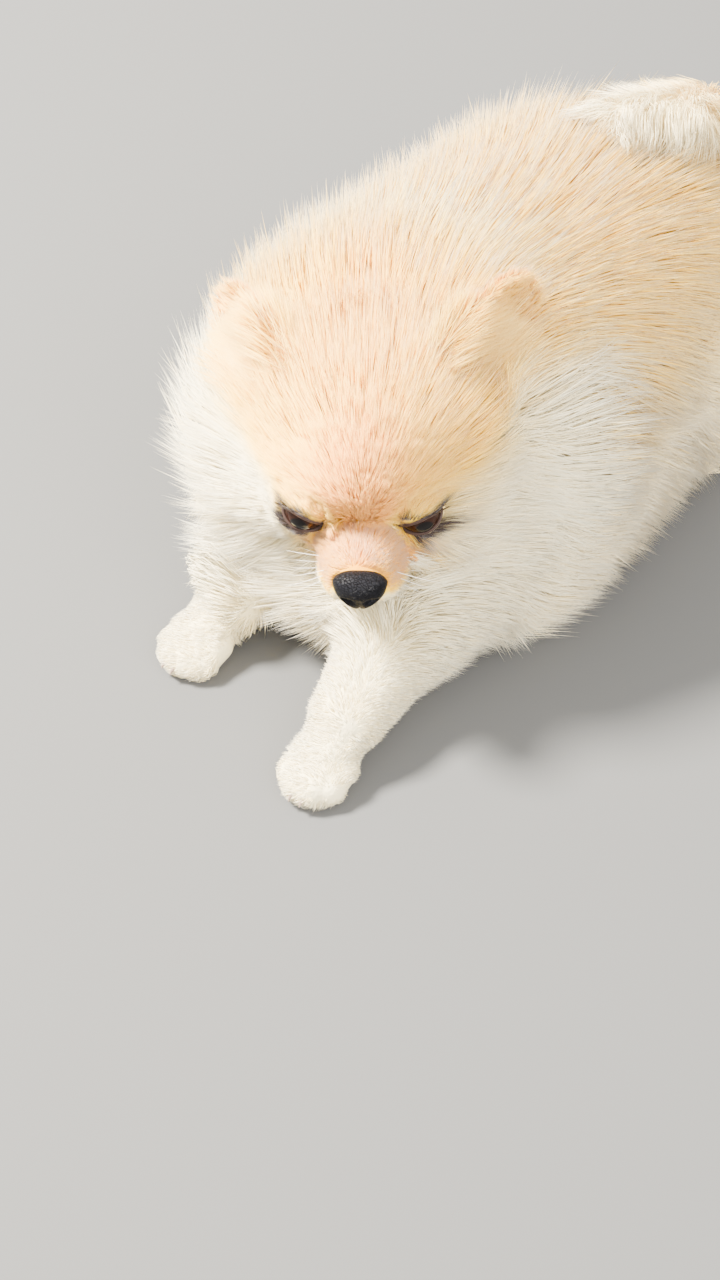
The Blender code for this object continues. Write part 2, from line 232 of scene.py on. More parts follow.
# Colours, as linear red, green, blue
WHITE_FUR = (0.98, 0.915, 0.66)
CREAM_FUR = (0.98, 0.61, 0.03)
ORANGE_FUR = (0.90, 0.39, 0.03)
PINK_SKIN = (0.80, 0.36, 0.25)
# the dark of the lid and lip rims, and also of the painted shade at the stop
DARK_RIM_AND_SHADE = (0.030, 0.016, 0.012)
NOSE_BLACK = (0.004, 0.004, 0.005)
IRIS_BROWN = (0.020, 0.007, 0.004)
PUPIL_BLACK = (0.004, 0.003, 0.003)
LASH_BROWN = (0.05, 0.03, 0.02)
CORNER_RED = (0.16, 0.05, 0.04)
WHISKER_PALE = (0.75, 0.70, 0.62)
HORN = (0.22, 0.16, 0.12)
FLOOR_GREY = (0.092, 0.092, 0.09)
KEY_COLOUR = (1, 0.95, 0.86)
FILL_COLOUR = (1, 0.98, 0.95)
SKY_COLOUR = (1, 0.975, 0.93)


class PuppyCoat(bpy.types.PropertyGroup):
    tufts: IntProperty(name="Tufts", description="Tufts in the whole coat", default=138000, min=1000)
    seed: IntProperty(name="Seed", description="Start of the coat's random draws", default=7)
    width: FloatProperty(name="Tuft width", description="Against the usual width", default=1.0, min=0.2)
    clumping: FloatProperty(
        name="Clumping",
        description="How far tufts lean together at their tips",
        default=0.34,
        subtype="FACTOR",
    )
    lift: FloatProperty(
        name="Lift", description="Height of the tips against the outline of the coat", default=0.93, min=0.1
    )
    white: FloatVectorProperty(
        name="White", description="Fur of chest, cheeks and legs", default=WHITE_FUR, subtype="COLOR"
    )
    cream: FloatVectorProperty(
        name="Cream", description="Fur of crown and back", default=CREAM_FUR, subtype="COLOR"
    )
    orange: FloatVectorProperty(
        name="Orange", description="Fur of ears and muzzle", default=ORANGE_FUR, subtype="COLOR"
    )


class PuppyFace(bpy.types.PropertyGroup):
    iris: FloatVectorProperty(
        name="Iris", description="Iris of the eyes", default=IRIS_BROWN, subtype="COLOR"
    )
    nose: FloatVectorProperty(
        name="Nose", description="Nose leather", default=NOSE_BLACK, subtype="COLOR"
    )
    rim: FloatVectorProperty(
        name="Rims", description="Edges of lids and lips", default=DARK_RIM_AND_SHADE, subtype="COLOR"
    )
    whiskers: IntProperty(name="Whiskers", description="On each side of the muzzle", default=9, min=0)


class PuppyStage(bpy.types.PropertyGroup):
    floor: FloatVectorProperty(
        name="Floor", description="Colour of the floor", default=FLOOR_GREY, subtype="COLOR"
    )
    key: FloatProperty(
        name="Key light", description="Power of the main light", default=260, unit="POWER"
    )
    fill: FloatProperty(
        name="Fill light", description="Power of the fill light", default=40, unit="POWER"
    )
    sky: FloatProperty(
        name="Sky", description="Strength of the light from all round", default=2.6, min=0
    )


# Frames

def head_frame():
    turn = Matrix.Rotation(HEAD_TURN, 4, "Z")
    nod = Matrix.Rotation(HEAD_NOD, 4, "X")
    return Matrix.Translation(HEAD_AT) @ turn @ nod


def mirrored(vector, side):
    return Vector((vector.x * SIDES[side], vector.y, vector.z))


def eye_frame(side):
    """The frame of an eye: -Y is the way it looks, and X runs along the slit between its lids."""
    look = Matrix.Rotation(EYE_OUTWARD * SIDES[side], 4, "Z")
    slant = Matrix.Rotation(LID_SLANT * -SIDES[side], 4, "Y")
    return head_frame() @ Matrix.Translation(mirrored(EYE_AT, side)) @ look @ slant


@lru_cache(maxsize=None)
def packed_shift():
    """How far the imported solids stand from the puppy's own frame, in millimetres, from the eyes."""
    shift = Vector()
    for side in SIDES:
        low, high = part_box("eye_" + side)
        shift += ((low + high) / 2 / MM - eye_frame(side).translation) / 2
    return shift


def to_world():
    """From the puppy's own frame in millimetres to the scene's in metres."""
    return Matrix.Diagonal((MM, MM, MM, 1)) @ Matrix.Translation(packed_shift())


def apply_matrix(matrix, points):
    """A matrix on an array of points."""
    grid = np.array(matrix)
    return points @ grid[:3, :3].T + grid[:3, 3]


def unit(vectors):
    return vectors / np.maximum(np.linalg.norm(vectors, axis=-1, keepdims=True), 1e-9)


def smooth_step(low, high, values):
    share = np.clip((values - low) / (high - low), 0, 1)
    return share * share * (3 - 2 * share)


def hill(*offsets):
    """1 where every offset is 0, falling smoothly to almost nothing where one of them is 2."""
    return np.exp(-sum(offset**2 for offset in offsets))


# Meshes

def link(obj):
    bpy.context.scene.collection.objects.link(obj)
    return obj


def object_of(shape, name):
    """A named object from a finished bmesh, which is freed."""
    mesh = bpy.data.meshes.new(name)
    bmesh.ops.recalc_face_normals(shape, faces=shape.faces)
    shape.to_mesh(mesh)
    shape.free()
    return link(bpy.data.objects.new(name, mesh))


def apply_modifiers(obj):
    graph = bpy.context.evaluated_depsgraph_get()
    mesh = bpy.data.meshes.new_from_object(obj.evaluated_get(graph), depsgraph=graph)
    obj.modifiers.clear()
    obj.data = mesh


def mesh_of(name, corners, triangles):
    """A mesh from arrays of corners and triangles."""
    mesh = bpy.data.meshes.new(name)
    mesh.vertices.add(len(corners))
    mesh.vertices.foreach_set("co", np.ascontiguousarray(corners, np.float32).ravel())
    mesh.loops.add(triangles.size)
    mesh.loops.foreach_set("vertex_index", np.ascontiguousarray(triangles, np.int32).ravel())
    mesh.polygons.add(len(triangles))
    mesh.polygons.foreach_set("loop_start", np.arange(0, triangles.size, 3, dtype=np.int32))
    mesh.update(calc_edges=True)
    return mesh


def set_values(mesh, per=1, **values):
    """Stores named numbers at a mesh's corners: one for all of them, or one for each run of per."""
    for name, numbers in values.items():
        layer = mesh.attributes.new(name, "FLOAT", "POINT")
        full = np.repeat(numbers, per) if np.ndim(numbers) else np.full(len(mesh.vertices), numbers)
        layer.data.foreach_set("value", np.ascontiguousarray(full, np.float32))


def read_values(items, name, width, kind=np.float32):
    """A property of all corners, loops or the like of a mesh, as one flat array."""
    values = np.empty(len(items) * width, kind)
    items.foreach_get(name, values)
    return values


def arrays_of(shape):
    """Corners and triangles of a bmesh, which is freed."""
    shape.verts.index_update()
    corners = np.array([vert.co[:] for vert in shape.verts])
    triangles = np.array([[vert.index for vert in face.verts] for face in shape.faces])
    shape.free()
    return corners, triangles


def finish_piece(obj, material, nodes=()):
    """Gives a finished piece its material, its body and the solids that it stands for."""
    obj.data.materials.clear()
    obj.data.materials.append(material)
    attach(obj, "root")
    if nodes:
        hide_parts(*nodes)


@lru_cache(maxsize=None)
def round_ball():
    """Corners and triangles of a ball of radius 1."""
    shape = bmesh.new()
    bmesh.ops.create_icosphere(shape, subdivisions=4, radius=1)
    return arrays_of(shape)


def add_ellipsoid(shells, centre, radii, place=Matrix.Identity(4)):
    """Adds the corners and triangles of an ellipsoid to a list of closed shells."""
    corners, triangles = round_ball()
    turned = place @ Matrix.Translation(centre) @ Matrix.Diagonal((*radii, 1))
    shells.append((apply_matrix(turned, corners), triangles))


def joined(shells):
    """Corners and triangles of all the shells together."""
    starts = np.cumsum([0] + [len(corners) for corners, _ in shells[:-1]])
    corners = np.concatenate([corners for corners, _ in shells])
    return corners, np.concatenate([triangles + start for (_, triangles), start in zip(shells, starts)])


def add_blobs(shells, blobs, share, place=Matrix.Identity(4)):
    """Adds blobs, each grown by share of its coat's depth, to a list of closed shells."""
    for blob in blobs:
        growth = blob.coat * share
        points = [Vector(point) + Vector(blob.lean) * growth for point in blob.points]
        radii = [radius + growth for radius in blob.radii]
        if len(points) == 1:
            add_ellipsoid(shells, points[0], radii, place)
            continue
        for i in range(len(points) - 1):
            steps = max(int((points[i + 1] - points[i]).length / BALL_SPACING), LEAST_BALLS)
            for k in range(steps + (i == len(points) - 2)):
                radius = radii[i] + (radii[i + 1] - radii[i]) * k / steps
                add_ellipsoid(shells, points[i].lerp(points[i + 1], k / steps), (radius,) * 3, place)


def foreleg_blobs(side):
    shoulder, elbow, wrist, _ = FORELEG[side]
    return (
        Blob([shoulder, elbow], (17, 13), 11),
        Blob([elbow, wrist], (14.5, 9.4), 3),
    )


def hindleg_blobs(side):
    way = SIDES[side]
    ankle = HINDLEG[side][0]
    return (
        Blob([(BODY_MIDDLE + 35 * way, 52, 28)], (17, 26, 24), 14, (0.5 * way, 0, 0)),
        Blob([(BODY_MIDDLE + 36 * way, 76, 11), ankle], (9, 7), 5),
    )


def toes_of(wrist, tips):
    """The front, knuckle and radius of each of a paw's four toes, and the way that they point."""
    heel = Vector(wrist)
    tip = Vector(tips)
    ahead = Vector((tip.x - heel.x, tip.y - heel.y, 0)).normalized()
    across = Vector((-ahead.y, ahead.x, 0))
    toes = []
    for place, back, radius in TOES:
        front = Vector((tip.x, tip.y, radius - TOE_SINK)) - ahead * (back + radius - TOE_SINK)
        front += across * place * TOE_SPREAD
        toes.append((front, front - ahead * TOE_LENGTH + Vector((0, 0, KNUCKLE_RISE)), radius))
    return ahead, toes


def paw_blobs(wrist, tips):
    ahead, toes = toes_of(wrist, tips)
    pad = Vector((tips[0], tips[1], PAD_HEIGHT)) - ahead * PAD_BACK
    blobs = [Blob([tuple(wrist), tuple(pad)], PAW_RADII, 0.5)]
    for front, knuckle, radius in toes:
        blobs.append(Blob([tuple(front), tuple(knuckle)], (radius, radius), 0))
    return blobs


def remeshed(shells, name, voxel, triangles):
    """One smooth form from closed shells."""
    made = link(bpy.data.objects.new(name, mesh_of(name, *joined(shells))))
    join = made.modifiers.new("join", "REMESH")
    join.mode = "VOXEL"
    join.voxel_size = voxel
    soften = made.modifiers.new("soften", "SMOOTH")
    soften.factor = 0.5
    soften.iterations = 3
    apply_modifiers(made)
    thin = made.modifiers.new("thin", "DECIMATE")
    thin.ratio = min(triangles / (2 * len(made.data.polygons)), 1)
    thin.use_collapse_triangulate = True
    apply_modifiers(made)
    return made


def cut_ruff(share, ahead):
    """The ruff's shell, without what lies further ahead of the nape than this."""
    shells = []
    add_blobs(shells, RUFF, share)
    ruff = remeshed(shells, "ruff", RUFF_VOXEL, RUFF_TRIANGLES)
    place = head_frame()
    normal = (place.to_3x3() @ NAPE_NORMAL).normalized()
    shape = bmesh.new()
    shape.from_mesh(ruff.data)
    bpy.data.objects.remove(ruff)
    at = place @ NAPE_AT - normal * ahead
    everything = [*shape.verts, *shape.edges, *shape.faces]
    cut = bmesh.ops.bisect_plane(
        shape, geom=everything, plane_co=at, plane_no=-normal, clear_outer=True
    )
    rim = [item for item in cut["geom_cut"] if isinstance(item, bmesh.types.BMEdge)]
    bmesh.ops.contextual_create(shape, geom=rim)
    bmesh.ops.triangulate(shape, faces=shape.faces)
    bmesh.ops.recalc_face_normals(shape, faces=shape.faces)
    return arrays_of(shape)


def whole_animal(name, share, ruff_ahead, voxel, triangles):
    """Head, neck, torso, tail, legs and paws in one form."""
    shells = [cut_ruff(share, ruff_ahead)]
    add_blobs(shells, HEAD, share, head_frame())
    add_blobs(shells, (*BIB, *TORSO, *TAIL), share)
    for side in SIDES:
        add_ellipsoid(shells, Vector(), (EYE_RADIUS + LID_THICKNESS,) * 3, eye_frame(side))
        add_blobs(shells, (*foreleg_blobs(side), *hindleg_blobs(side)), share)
        for leg in (FORELEG, HINDLEG):
            add_blobs(shells, paw_blobs(*leg[side][-2:]), 0)
    return remeshed(shells, name, voxel, triangles)


Surface = namedtuple("Surface", "corners triangles normals tree")


def surface_of(obj):
    """The corners, triangles, corner normals and search tree of a mesh of triangles."""
    mesh = obj.data
    corners = read_values(mesh.vertices, "co", 3).reshape(-1, 3).astype(float)
    normals = read_values(mesh.vertices, "normal", 3).reshape(-1, 3).astype(float)
    triangles = read_values(mesh.loops, "vertex_index", 1, np.int32).reshape(-1, 3)
    shape = bmesh.new()
    shape.from_mesh(mesh)
    tree = BVHTree.FromBMesh(shape)
    shape.free()
    return Surface(corners, triangles, normals, tree)


# Skin

def shape_face(corners):
    """Moves the skin's corners back behind the eyes' slits, and sinks the line of the lips."""
    for side in SIDES:
        place = eye_frame(side)
        local = apply_matrix(place.inverted(), corners)
        rise = np.where(local[:, 2] > 0, LID_RISE, LID_DROP)
        inside = (local[:, 0] / LID_HALF_WIDTH) ** 2 + (local[:, 2] / rise) ** 2
        front = (local[:, 1] < 0) & (np.linalg.norm(local, axis=1) < EYE_RADIUS + 4)
        sink = smooth_step(1.25, 0.8, inside)[:, None] * front[:, None]
        behind = unit(local) * (EYE_RADIUS - SOCKET_SINK)
        local = local * (1 - sink) + behind * sink
        corners = apply_matrix(place, local)
    head = apply_matrix(head_frame().inverted(), corners)
    from_mouth = head - np.array(MOUTH_AT)
    on_arc = np.hypot(from_mouth[:, 0] / MOUTH_ROUND[0], from_mouth[:, 1] / MOUTH_ROUND[1])
    near = hill((from_mouth[:, 2] - LIP_HEIGHT) / LIP_WIDTH)
    near = near * (np.abs(on_arc - 1) < 0.6) * (from_mouth[:, 1] < 3)
    head[:, :2] += -unit(from_mouth[:, :2]) * (near * LIP_DEPTH)[:, None]
    return apply_matrix(head_frame(), head)


@lru_cache(maxsize=None)
def skin_surface():
    """The skin, its surface with its search tree, and its depth of coat at each corner, measured out to the
    animal's outline.
    """
    obj = whole_animal("skin", SKIN_SHARE, 0, SKIN_VOXEL, SKIN_TRIANGLES)
    mesh = obj.data
    plain = surface_of(obj)
    corners = shape_face(plain.corners)
    corners[:, 2] = np.maximum(corners[:, 2], FLOOR_GAP)
    mesh.vertices.foreach_set("co", corners.astype(np.float32).ravel())
    mesh.update()
    skin = surface_of(obj)
    outline = whole_animal("outline", 1, RUFF_FACE, OUTLINE_VOXEL, OUTLINE_TRIANGLES)
    tree = surface_of(outline).tree
    bpy.data.objects.remove(outline)
    depth = np.empty(len(corners))
    for i, (corner, normal) in enumerate(zip(skin.corners, skin.normals)):
        way = Vector(normal)
        hit, _, _, length = tree.ray_cast(Vector(corner) + way * 0.05, way, MOST_DEPTH * 1.6)
        depth[i] = length if hit else 0
    depth = np.clip(depth, LEAST_DEPTH, MOST_DEPTH)
    for _ in range(6):
        depth = spread_out(depth, skin.triangles)
    x, y, z = apply_matrix(head_frame().inverted(), skin.corners).T
    over_eyes = hill((z - 12) / 5, (y + 17) / 7)
    muzzle_sides = hill((np.abs(x) - 10) / 3.5, (y + 25) / 6, (z + 7) / 6)
    depth += 2.2 * over_eyes
    depth += 2.4 * muzzle_sides
    return obj, skin, depth


def spread_out(values, triangles):
    """Values at the corners, smoothed over the triangles."""
    middles = values[triangles].mean(axis=1)
    total = np.zeros(len(values))
    count = np.zeros(len(values))
    for k in range(3):
        np.add.at(total, triangles[:, k], middles)
        np.add.at(count, triangles[:, k], 1)
    return total / np.maximum(count, 1)


# Markings and the lie of the coat

def markings(points):
    """How warm, how pink and how dark the coat is at each point, each from 0 to 1; the tan and the darkness
    at brow and stop are partly painted shade.
    """
    head = apply_matrix(head_frame().inverted(), points)
    x, y, z = head.T
    side = np.abs(x)
    on_head = smooth_step(64, 48, np.linalg.norm(points - np.array(HEAD_AT), axis=1))
    stop_tan_and_shade = hill((y + 24) / 4, side / 5, (z - 4) / 4)
    cheek = hill((side - 9) / 4, (y + 27) / 5.5, (z + 3) / 5)
    cheek += 0.6 * hill((side - 13) / 4, (y + 20) / 6, (z + 6) / 5)
    marks = {
        "crown": smooth_step(-3, 10, z - 0.22 * side) * smooth_step(64, 20, y),
        "forehead": hill(side / 12) * smooth_step(2, 10, z),
        "muzzle": smooth_step(-21, -26, y) * smooth_step(-11, -6, z) * smooth_step(14, 9, side),
        "brow_tan_and_shade": hill((y + 19) / 6, side / 9) * smooth_step(0, 5, z),
        "stop_tan_and_shade": stop_tan_and_shade,
        "cheek": cheek,
    }
    warm_head = WARMTH["head"] + sum(WARMTH[name] * mark for name, mark in marks.items())
    _, back, high = points.T
    plume = hill((back - 60) / 40) * smooth_step(92, 99, high)
    warm_body = WARMTH["body"] + WARMTH["back"] * smooth_step(45, 90, high)
    warm_body = (warm_body + WARMTH["flank"] * smooth_step(-80, -20, back)) * (1 - 0.8 * plume)
    warm = warm_body * (1 - on_head) + warm_head * on_head
    pink = 0.30 * hill(x / 3.5, (y + 33) / 5) * smooth_step(-3, 0, z)
    # painted shade under the overhanging brow fur darkens the stop; the darkness added below is the dark
    # rims round the eyes
    dark = 0.14 * stop_tan_and_shade
    for name in SIDES:
        eye = apply_matrix(eye_frame(name).inverted(), points)
        inner = -SIDES[name] * eye[:, 0]
        near = np.hypot(eye[:, 0] / 7.9, (eye[:, 2] - 0.4) / 4.1)
        front = smooth_step(0, -3, eye[:, 1])
        pink += 0.4 * hill((inner - 5) / 4, (eye[:, 2] + 3.8) / 2.2) * front
        dark += smooth_step(1.08, 0.86, near) * front * smooth_step(-6.8, -4.6, inner)
        warm = warm + WARMTH["eye"] * smooth_step(1.9, 1.1, near) * front
    return np.clip(warm, 0, 1), np.clip(pink, 0, 1), np.clip(dark, 0, 1)


def lie_at(point, normal):
    """The way the coat lies at a point of the skin."""
    in_head = head_frame().inverted() @ point
    radial = (point - head_frame() @ FACE_MIDDLE).normalized()
    if in_head.y < 8 and in_head.y < 8 - 0.2 * abs(in_head.z):
        forward = Vector((in_head.x * 0.022, 0.62, 0.30 if in_head.z > 4 else -0.25))
        return (head_frame().to_3x3() @ forward).normalized() + radial * 0.5
    down = -0.75 * abs(normal.x) - 0.9 * max(normal.y, 0)
    body = Vector((0.25 * normal.x, 1, down)).normalized()
    if point.z > 88 and point.y > 48:
        body = Vector((0.7 * normal.x, -0.9, -0.25))
    elif point.y > 76 and point.z > 55:
        body = Vector((0.5 * normal.x, 0.2, 0.8))
    chest = Vector((0.35 * normal.x, -0.3, -1)).normalized()
    share = min(max((point.y + 62) / 34, 0), 1)
    low = min(max((56 - point.z) / 16, 0), 1) * min(max((-58 - point.y) / 10, 0), 1)
    flow = radial.lerp(body, share)
    return flow.lerp(chest, low)


def flattened(direction, normal):
    return (direction - normal * direction.dot(normal)).normalized()


# Tufts

def sample(surface, weights, count, rng):
    """Random places on a surface, as triangle numbers and shares of their corners."""
    a, b, c = (surface.corners[surface.triangles[:, k]] for k in range(3))
    areas = np.linalg.norm(np.cross(b - a, c - a), axis=1) * weights[surface.triangles].mean(axis=1)
    ends = np.cumsum(areas)
    picks = np.searchsorted(ends, (np.arange(count) + rng.random(count)) / count * ends[-1])
    shares = rng.random((count, 2))
    over = shares.sum(axis=1) > 1
    shares[over] = 1 - shares[over]
    return np.minimum(picks, len(ends) - 1), np.column_stack([1 - shares.sum(axis=1), shares])


def at_places(values, surface, picks, shares):
    """Values at the corners of a surface, worked out at places on it."""
    corners = values[surface.triangles[picks]]
    if corners.ndim == 2:
        return (corners * shares).sum(axis=1)
    return (corners * shares[:, :, None]).sum(axis=1)


def guide_walk(place, normal, depth, surface, depth_list, lift):
    """The points of a guide tuft, its root first, and the body's normal under each."""
    run = depth + SHORT_RUN
    points = [place]
    ups = [normal]
    direction = flattened(lie_at(place, normal), normal)
    ground = place
    for step in range(1, WALK_STEPS + 1):
        direction = flattened(direction * 0.5 + flattened(lie_at(ground, normal), normal) * 0.5, normal)
        aim = ground + direction * run / WALK_STEPS
        near, turned, face, _ = surface.tree.find_nearest(aim)
        if (near - aim).length > 2.5 * run / WALK_STEPS:
            near, turned = aim, normal
        else:
            depth = 0.6 * depth + 0.4 * depth_list[face]
        ground = near
        normal = (normal * 0.4 + turned * 0.6).normalized()
        share = step / WALK_STEPS
        height = depth * lift * (0.5 * share + 0.5 * (1 - (1 - share) ** 1.7))
        point = ground + normal * height
        points.append(Vector((point.x, point.y, max(point.z, 0.4))))
        ups.append(normal)
    return points, ups


@lru_cache(maxsize=None)
def guides():
    """Roots, curves and normals of the guide tufts, as arrays, and a search tree of the roots."""
    _, surface, depth = skin_surface()
    settings = bpy.context.scene.puppy_coat
    rng = np.random.default_rng(settings.seed)
    weights = 1 / (3 + 0.25 * depth)
    picks, shares = sample(surface, weights, GUIDES, rng)
    roots = at_places(surface.corners, surface, picks, shares)
    normals = unit(at_places(surface.normals, surface, picks, shares))
    depths = at_places(depth, surface, picks, shares)
    face_depths = depth[surface.triangles].mean(axis=1).tolist()
    curves = np.empty((GUIDES, WALK_STEPS + 1, 3))
    ups = np.empty((GUIDES, WALK_STEPS + 1, 3))
    tree = KDTree(GUIDES)
    for i in range(GUIDES):
        points, turned = guide_walk(
            Vector(roots[i]), Vector(normals[i]), depths[i], surface, face_depths, settings.lift
        )
        curves[i] = points
        ups[i] = turned
        tree.insert(roots[i], i)
    tree.balance()
    return roots, normals, curves, ups, tree


def nearest(tree, points, count):
    """The numbers and distances of the nearest entries of a search tree, for each point."""
    found = [tree.find_n(point, count) for point in points]
    numbers = np.array([[entry[1] for entry in row] for row in found])
    distances = np.array([[entry[2] for entry in row] for row in found])
    return numbers, distances


def clumped(curves, roots, strength, rng):
    """Leans the tufts of each clump towards one of them, more so near the tips."""
    chosen = rng.permutation(len(roots))[: max(len(roots) // CLUMP, 1)]
    tree = KDTree(len(chosen))
    for number, index in enumerate(chosen):
        tree.insert(roots[index], number)
    tree.balance()
    near, _ = nearest(tree, roots, 1)
    near = near[:, 0]
    pull = strength * rng.uniform(0.45, 1.35, len(chosen))[near] * rng.uniform(0.7, 1.1, len(roots))
    along = np.linspace(0, 1, curves.shape[1]) ** 1.3
    share = np.clip(pull, 0, 0.92)[:, None] * along[None, :]
    return curves + (curves[chosen[near]] - curves) * share[:, :, None]


def tuft_curves(picks, shares, surface, depth, rng):
    """Curves and normals of tufts at places on the skin, led by the guides near their roots."""
    settings = bpy.context.scene.puppy_coat
    roots = at_places(surface.corners, surface, picks, shares)
    normals = unit(at_places(surface.normals, surface, picks, shares))
    depths = at_places(depth, surface, picks, shares)
    guide_roots, guide_normals, guide_curves, guide_ups, tree = guides()
    numbers, distances = nearest(tree, roots, 3)
    facing = np.clip((guide_normals[numbers] * normals[:, None, :]).sum(axis=2), 0.03, 1) ** 2
    weights = facing / (distances + 1)
    weights /= weights.sum(axis=1, keepdims=True)
    steps = guide_curves[numbers] - guide_roots[numbers][:, :, None, :]
    steps = (steps * weights[:, :, None, None]).sum(axis=1)
    ups = unit((guide_ups[numbers] * weights[:, :, None, None]).sum(axis=1))
    length = np.linalg.norm(steps[:, -1], axis=1)
    along = np.linspace(0, 1, WALK_STEPS + 1)
    steps = steps * rng.uniform(0.80, 1.06, len(roots))[:, None, None]
    wander = np.clip(rng.normal(0, 1, (len(roots), 1, 3)), -1.7, 1.7) * 0.08
    wander = wander * length[:, None, None] * along[None, :, None] ** 1.5
    curves = roots[:, None, :] + steps + wander
    curves = clumped(curves, roots, settings.clumping, rng)
    inside = np.abs(roots + np.array(packed_shift()))[:, None]
    beyond = np.abs(curves + np.array(packed_shift())) - inside
    room = ((np.array(COAT_REACH) - inside) / np.maximum(beyond, 0.001)).min(axis=(1, 2))
    curves = roots[:, None] + (curves - roots[:, None]) * np.clip(room, 0.3, 1)[:, None, None]
    curves[:, 0] = roots - normals * 0.4
    curves[:, :, 2] = np.maximum(curves[:, :, 2], 0.25)
    return roots, depths, curves, ups


def tuft_mesh(name, curves, ups, widths, rng):
    """Closed tapered tufts with three sides, as one mesh, with corners at the stations of each."""
    count = len(STATIONS)
    points = curves[:, STATIONS]
    above = ups[:, STATIONS]
    tangents = unit(np.gradient(points, axis=1))
    side = unit(np.cross(tangents, above))
    over = np.cross(side, tangents)
    roll = rng.normal(0, 0.3, (len(points), 1, 1))
    turned = side * np.cos(roll) + over * np.sin(roll)
    over = over * np.cos(roll) - side * np.sin(roll)
    half = (widths[:, None] * np.array(RING_WIDTHS)[None, :] / 2)[:, :, None]
    rings = points[:, :-1]
    left = rings - turned[:, :-1] * half
    right = rings + turned[:, :-1] * half
    ridge = rings + over[:, :-1] * half * RIDGE_SHARE
    corners = np.stack([left, ridge, right], axis=2).reshape(len(points), -1, 3)
    corners = np.concatenate([corners, points[:, -1:]], axis=1)
    faces = []
    for ring in range(count - 2):
        for k in range(3):
            a, b = ring * 3 + k, ring * 3 + (k + 1) % 3
            faces += [(a, b, b + 3), (a, b + 3, a + 3)]
    last = 3 * (count - 2)
    faces += [(last + k, last + (k + 1) % 3, last + 3) for k in range(3)]
    faces.append((2, 1, 0))
    per = corners.shape[1]
    offsets = np.arange(len(points))[:, None, None] * per
    triangles = (np.array(faces)[None] + offsets).reshape(-1, 3)
    flat = apply_matrix(to_world(), corners.reshape(-1, 3))
    mesh = mesh_of(name, flat, triangles)
    along = np.array([k / (count - 1) for k in range(count - 1) for _ in range(3)] + [1.0])
    across = np.array([(k % 3) / 2 for k in range(per - 1)] + [0.5])
    set_values(mesh, along=np.tile(along, len(points)))
    return mesh, triangles, along, across, per


def add_bake_map(mesh, triangles, root_uv, along, across, per):
    """The OFBake map: each tuft is a small patch at its root's place on the unwrap of the skin."""
    local = triangles.ravel() % per
    tuft = triangles.ravel() // per
    spots = np.column_stack([across[local], along[local]]) * PATCH - PATCH / 2
    layer = mesh.uv_layers.new(name="OFBake")
    uv = np.clip(root_uv[tuft] + spots, 0, 1)
    layer.data.foreach_set("uv", uv.astype(np.float32).ravel())


def tuft_piece(name, curves, ups, widths, root_uv, rng):
    """A piece of closed tufts with its OFBake map, and the number of corners in each tuft."""
    mesh, triangles, along, across, per = tuft_mesh(name, curves, ups, widths, rng)
    add_bake_map(mesh, triangles, root_uv, along, across, per)
    mesh.shade_smooth()
    return link(bpy.data.objects.new(name, mesh)), per


@lru_cache(maxsize=None)
def skin_unwrap():
    """A coarse copy of the skin, unwrapped: its search tree, corners and place on the map by triangle."""
    skin, _, _ = skin_surface()
    copy = link(bpy.data.objects.new("unwrap", skin.data.copy()))
    thin = copy.modifiers.new("thin", "DECIMATE")
    thin.ratio = UNWRAP_TRIANGLES / len(copy.data.polygons)
    thin.use_collapse_triangulate = True
    apply_modifiers(copy)
    bpy.ops.object.select_all(action="DESELECT")
    copy.select_set(True)
    bpy.context.view_layer.objects.active = copy
    bpy.ops.object.mode_set(mode="EDIT")
    bpy.ops.mesh.select_all(action="SELECT")
    bpy.ops.uv.smart_project(angle_limit=math.radians(70), island_margin=0.004)
    bpy.ops.object.mode_set(mode="OBJECT")
    surface = surface_of(copy)
    uv = read_values(copy.data.uv_layers.active.data, "uv", 2)
    bpy.data.objects.remove(copy)
    return surface, uv.reshape(-1, 3, 2).astype(float)


def unwrap_places(roots):
    """The place of each root on the unwrap of the skin."""
    surface, uv = skin_unwrap()
    faces = np.array([surface.tree.find_nearest(root)[2] for root in roots])
    a, b, c = (surface.corners[surface.triangles[faces, k]] for k in range(3))
    e1, e2, e3 = b - a, c - a, roots - a
    d11, d12, d22 = (e1 * e1).sum(1), (e1 * e2).sum(1), (e2 * e2).sum(1)
    d31, d32 = (e3 * e1).sum(1), (e3 * e2).sum(1)
    bottom = np.maximum(d11 * d22 - d12 * d12, 1e-9)
    v = np.clip((d22 * d31 - d12 * d32) / bottom, 0, 1)
    w = np.clip((d11 * d32 - d12 * d31) / bottom, 0, 1)
    shares = np.column_stack([np.clip(1 - v - w, 0, 1), v, w])
    shares /= shares.sum(axis=1, keepdims=True)
    return (uv[faces] * shares[:, :, None]).sum(axis=1)


def region_of(points, depths):
    """The name of the part of the coat that each point belongs to."""
    head = apply_matrix(head_frame().inverted(), points)
    names = np.full(len(points), "flank_left", dtype=object)
    names[points[:, 0] < BODY_MIDDLE] = "flank_right"
    names[(points[:, 2] > 62) & (points[:, 1] > -30)] = "back"
    names[(points[:, 1] > 58) & (points[:, 2] <= 80)] = "rump"
    names[(points[:, 1] > 48) & (points[:, 2] > 84)] = "tail"
    ahead = points[:, 1] < -30
    names[ahead & (points[:, 0] < BODY_MIDDLE)] = "ruff_right"
    names[ahead & (points[:, 0] >= BODY_MIDDLE)] = "ruff_left"
    names[(points[:, 1] < -52) & (points[:, 2] < 50) & (depths > 5)] = "chest"
    near = np.linalg.norm(head * np.array([1, 1, 1.1]), axis=1) < 39
    names[near & (head[:, 1] < 14)] = "cheeks"
    names[near & (head[:, 1] < 16) & (head[:, 2] > 6)] = "crown"
    names[(depths < 5) & (points[:, 2] < 45)] = "legs"
    names[(depths < 6) & (head[:, 1] < -8) & (np.linalg.norm(head, axis=1) < 60)] = "face"
    return names


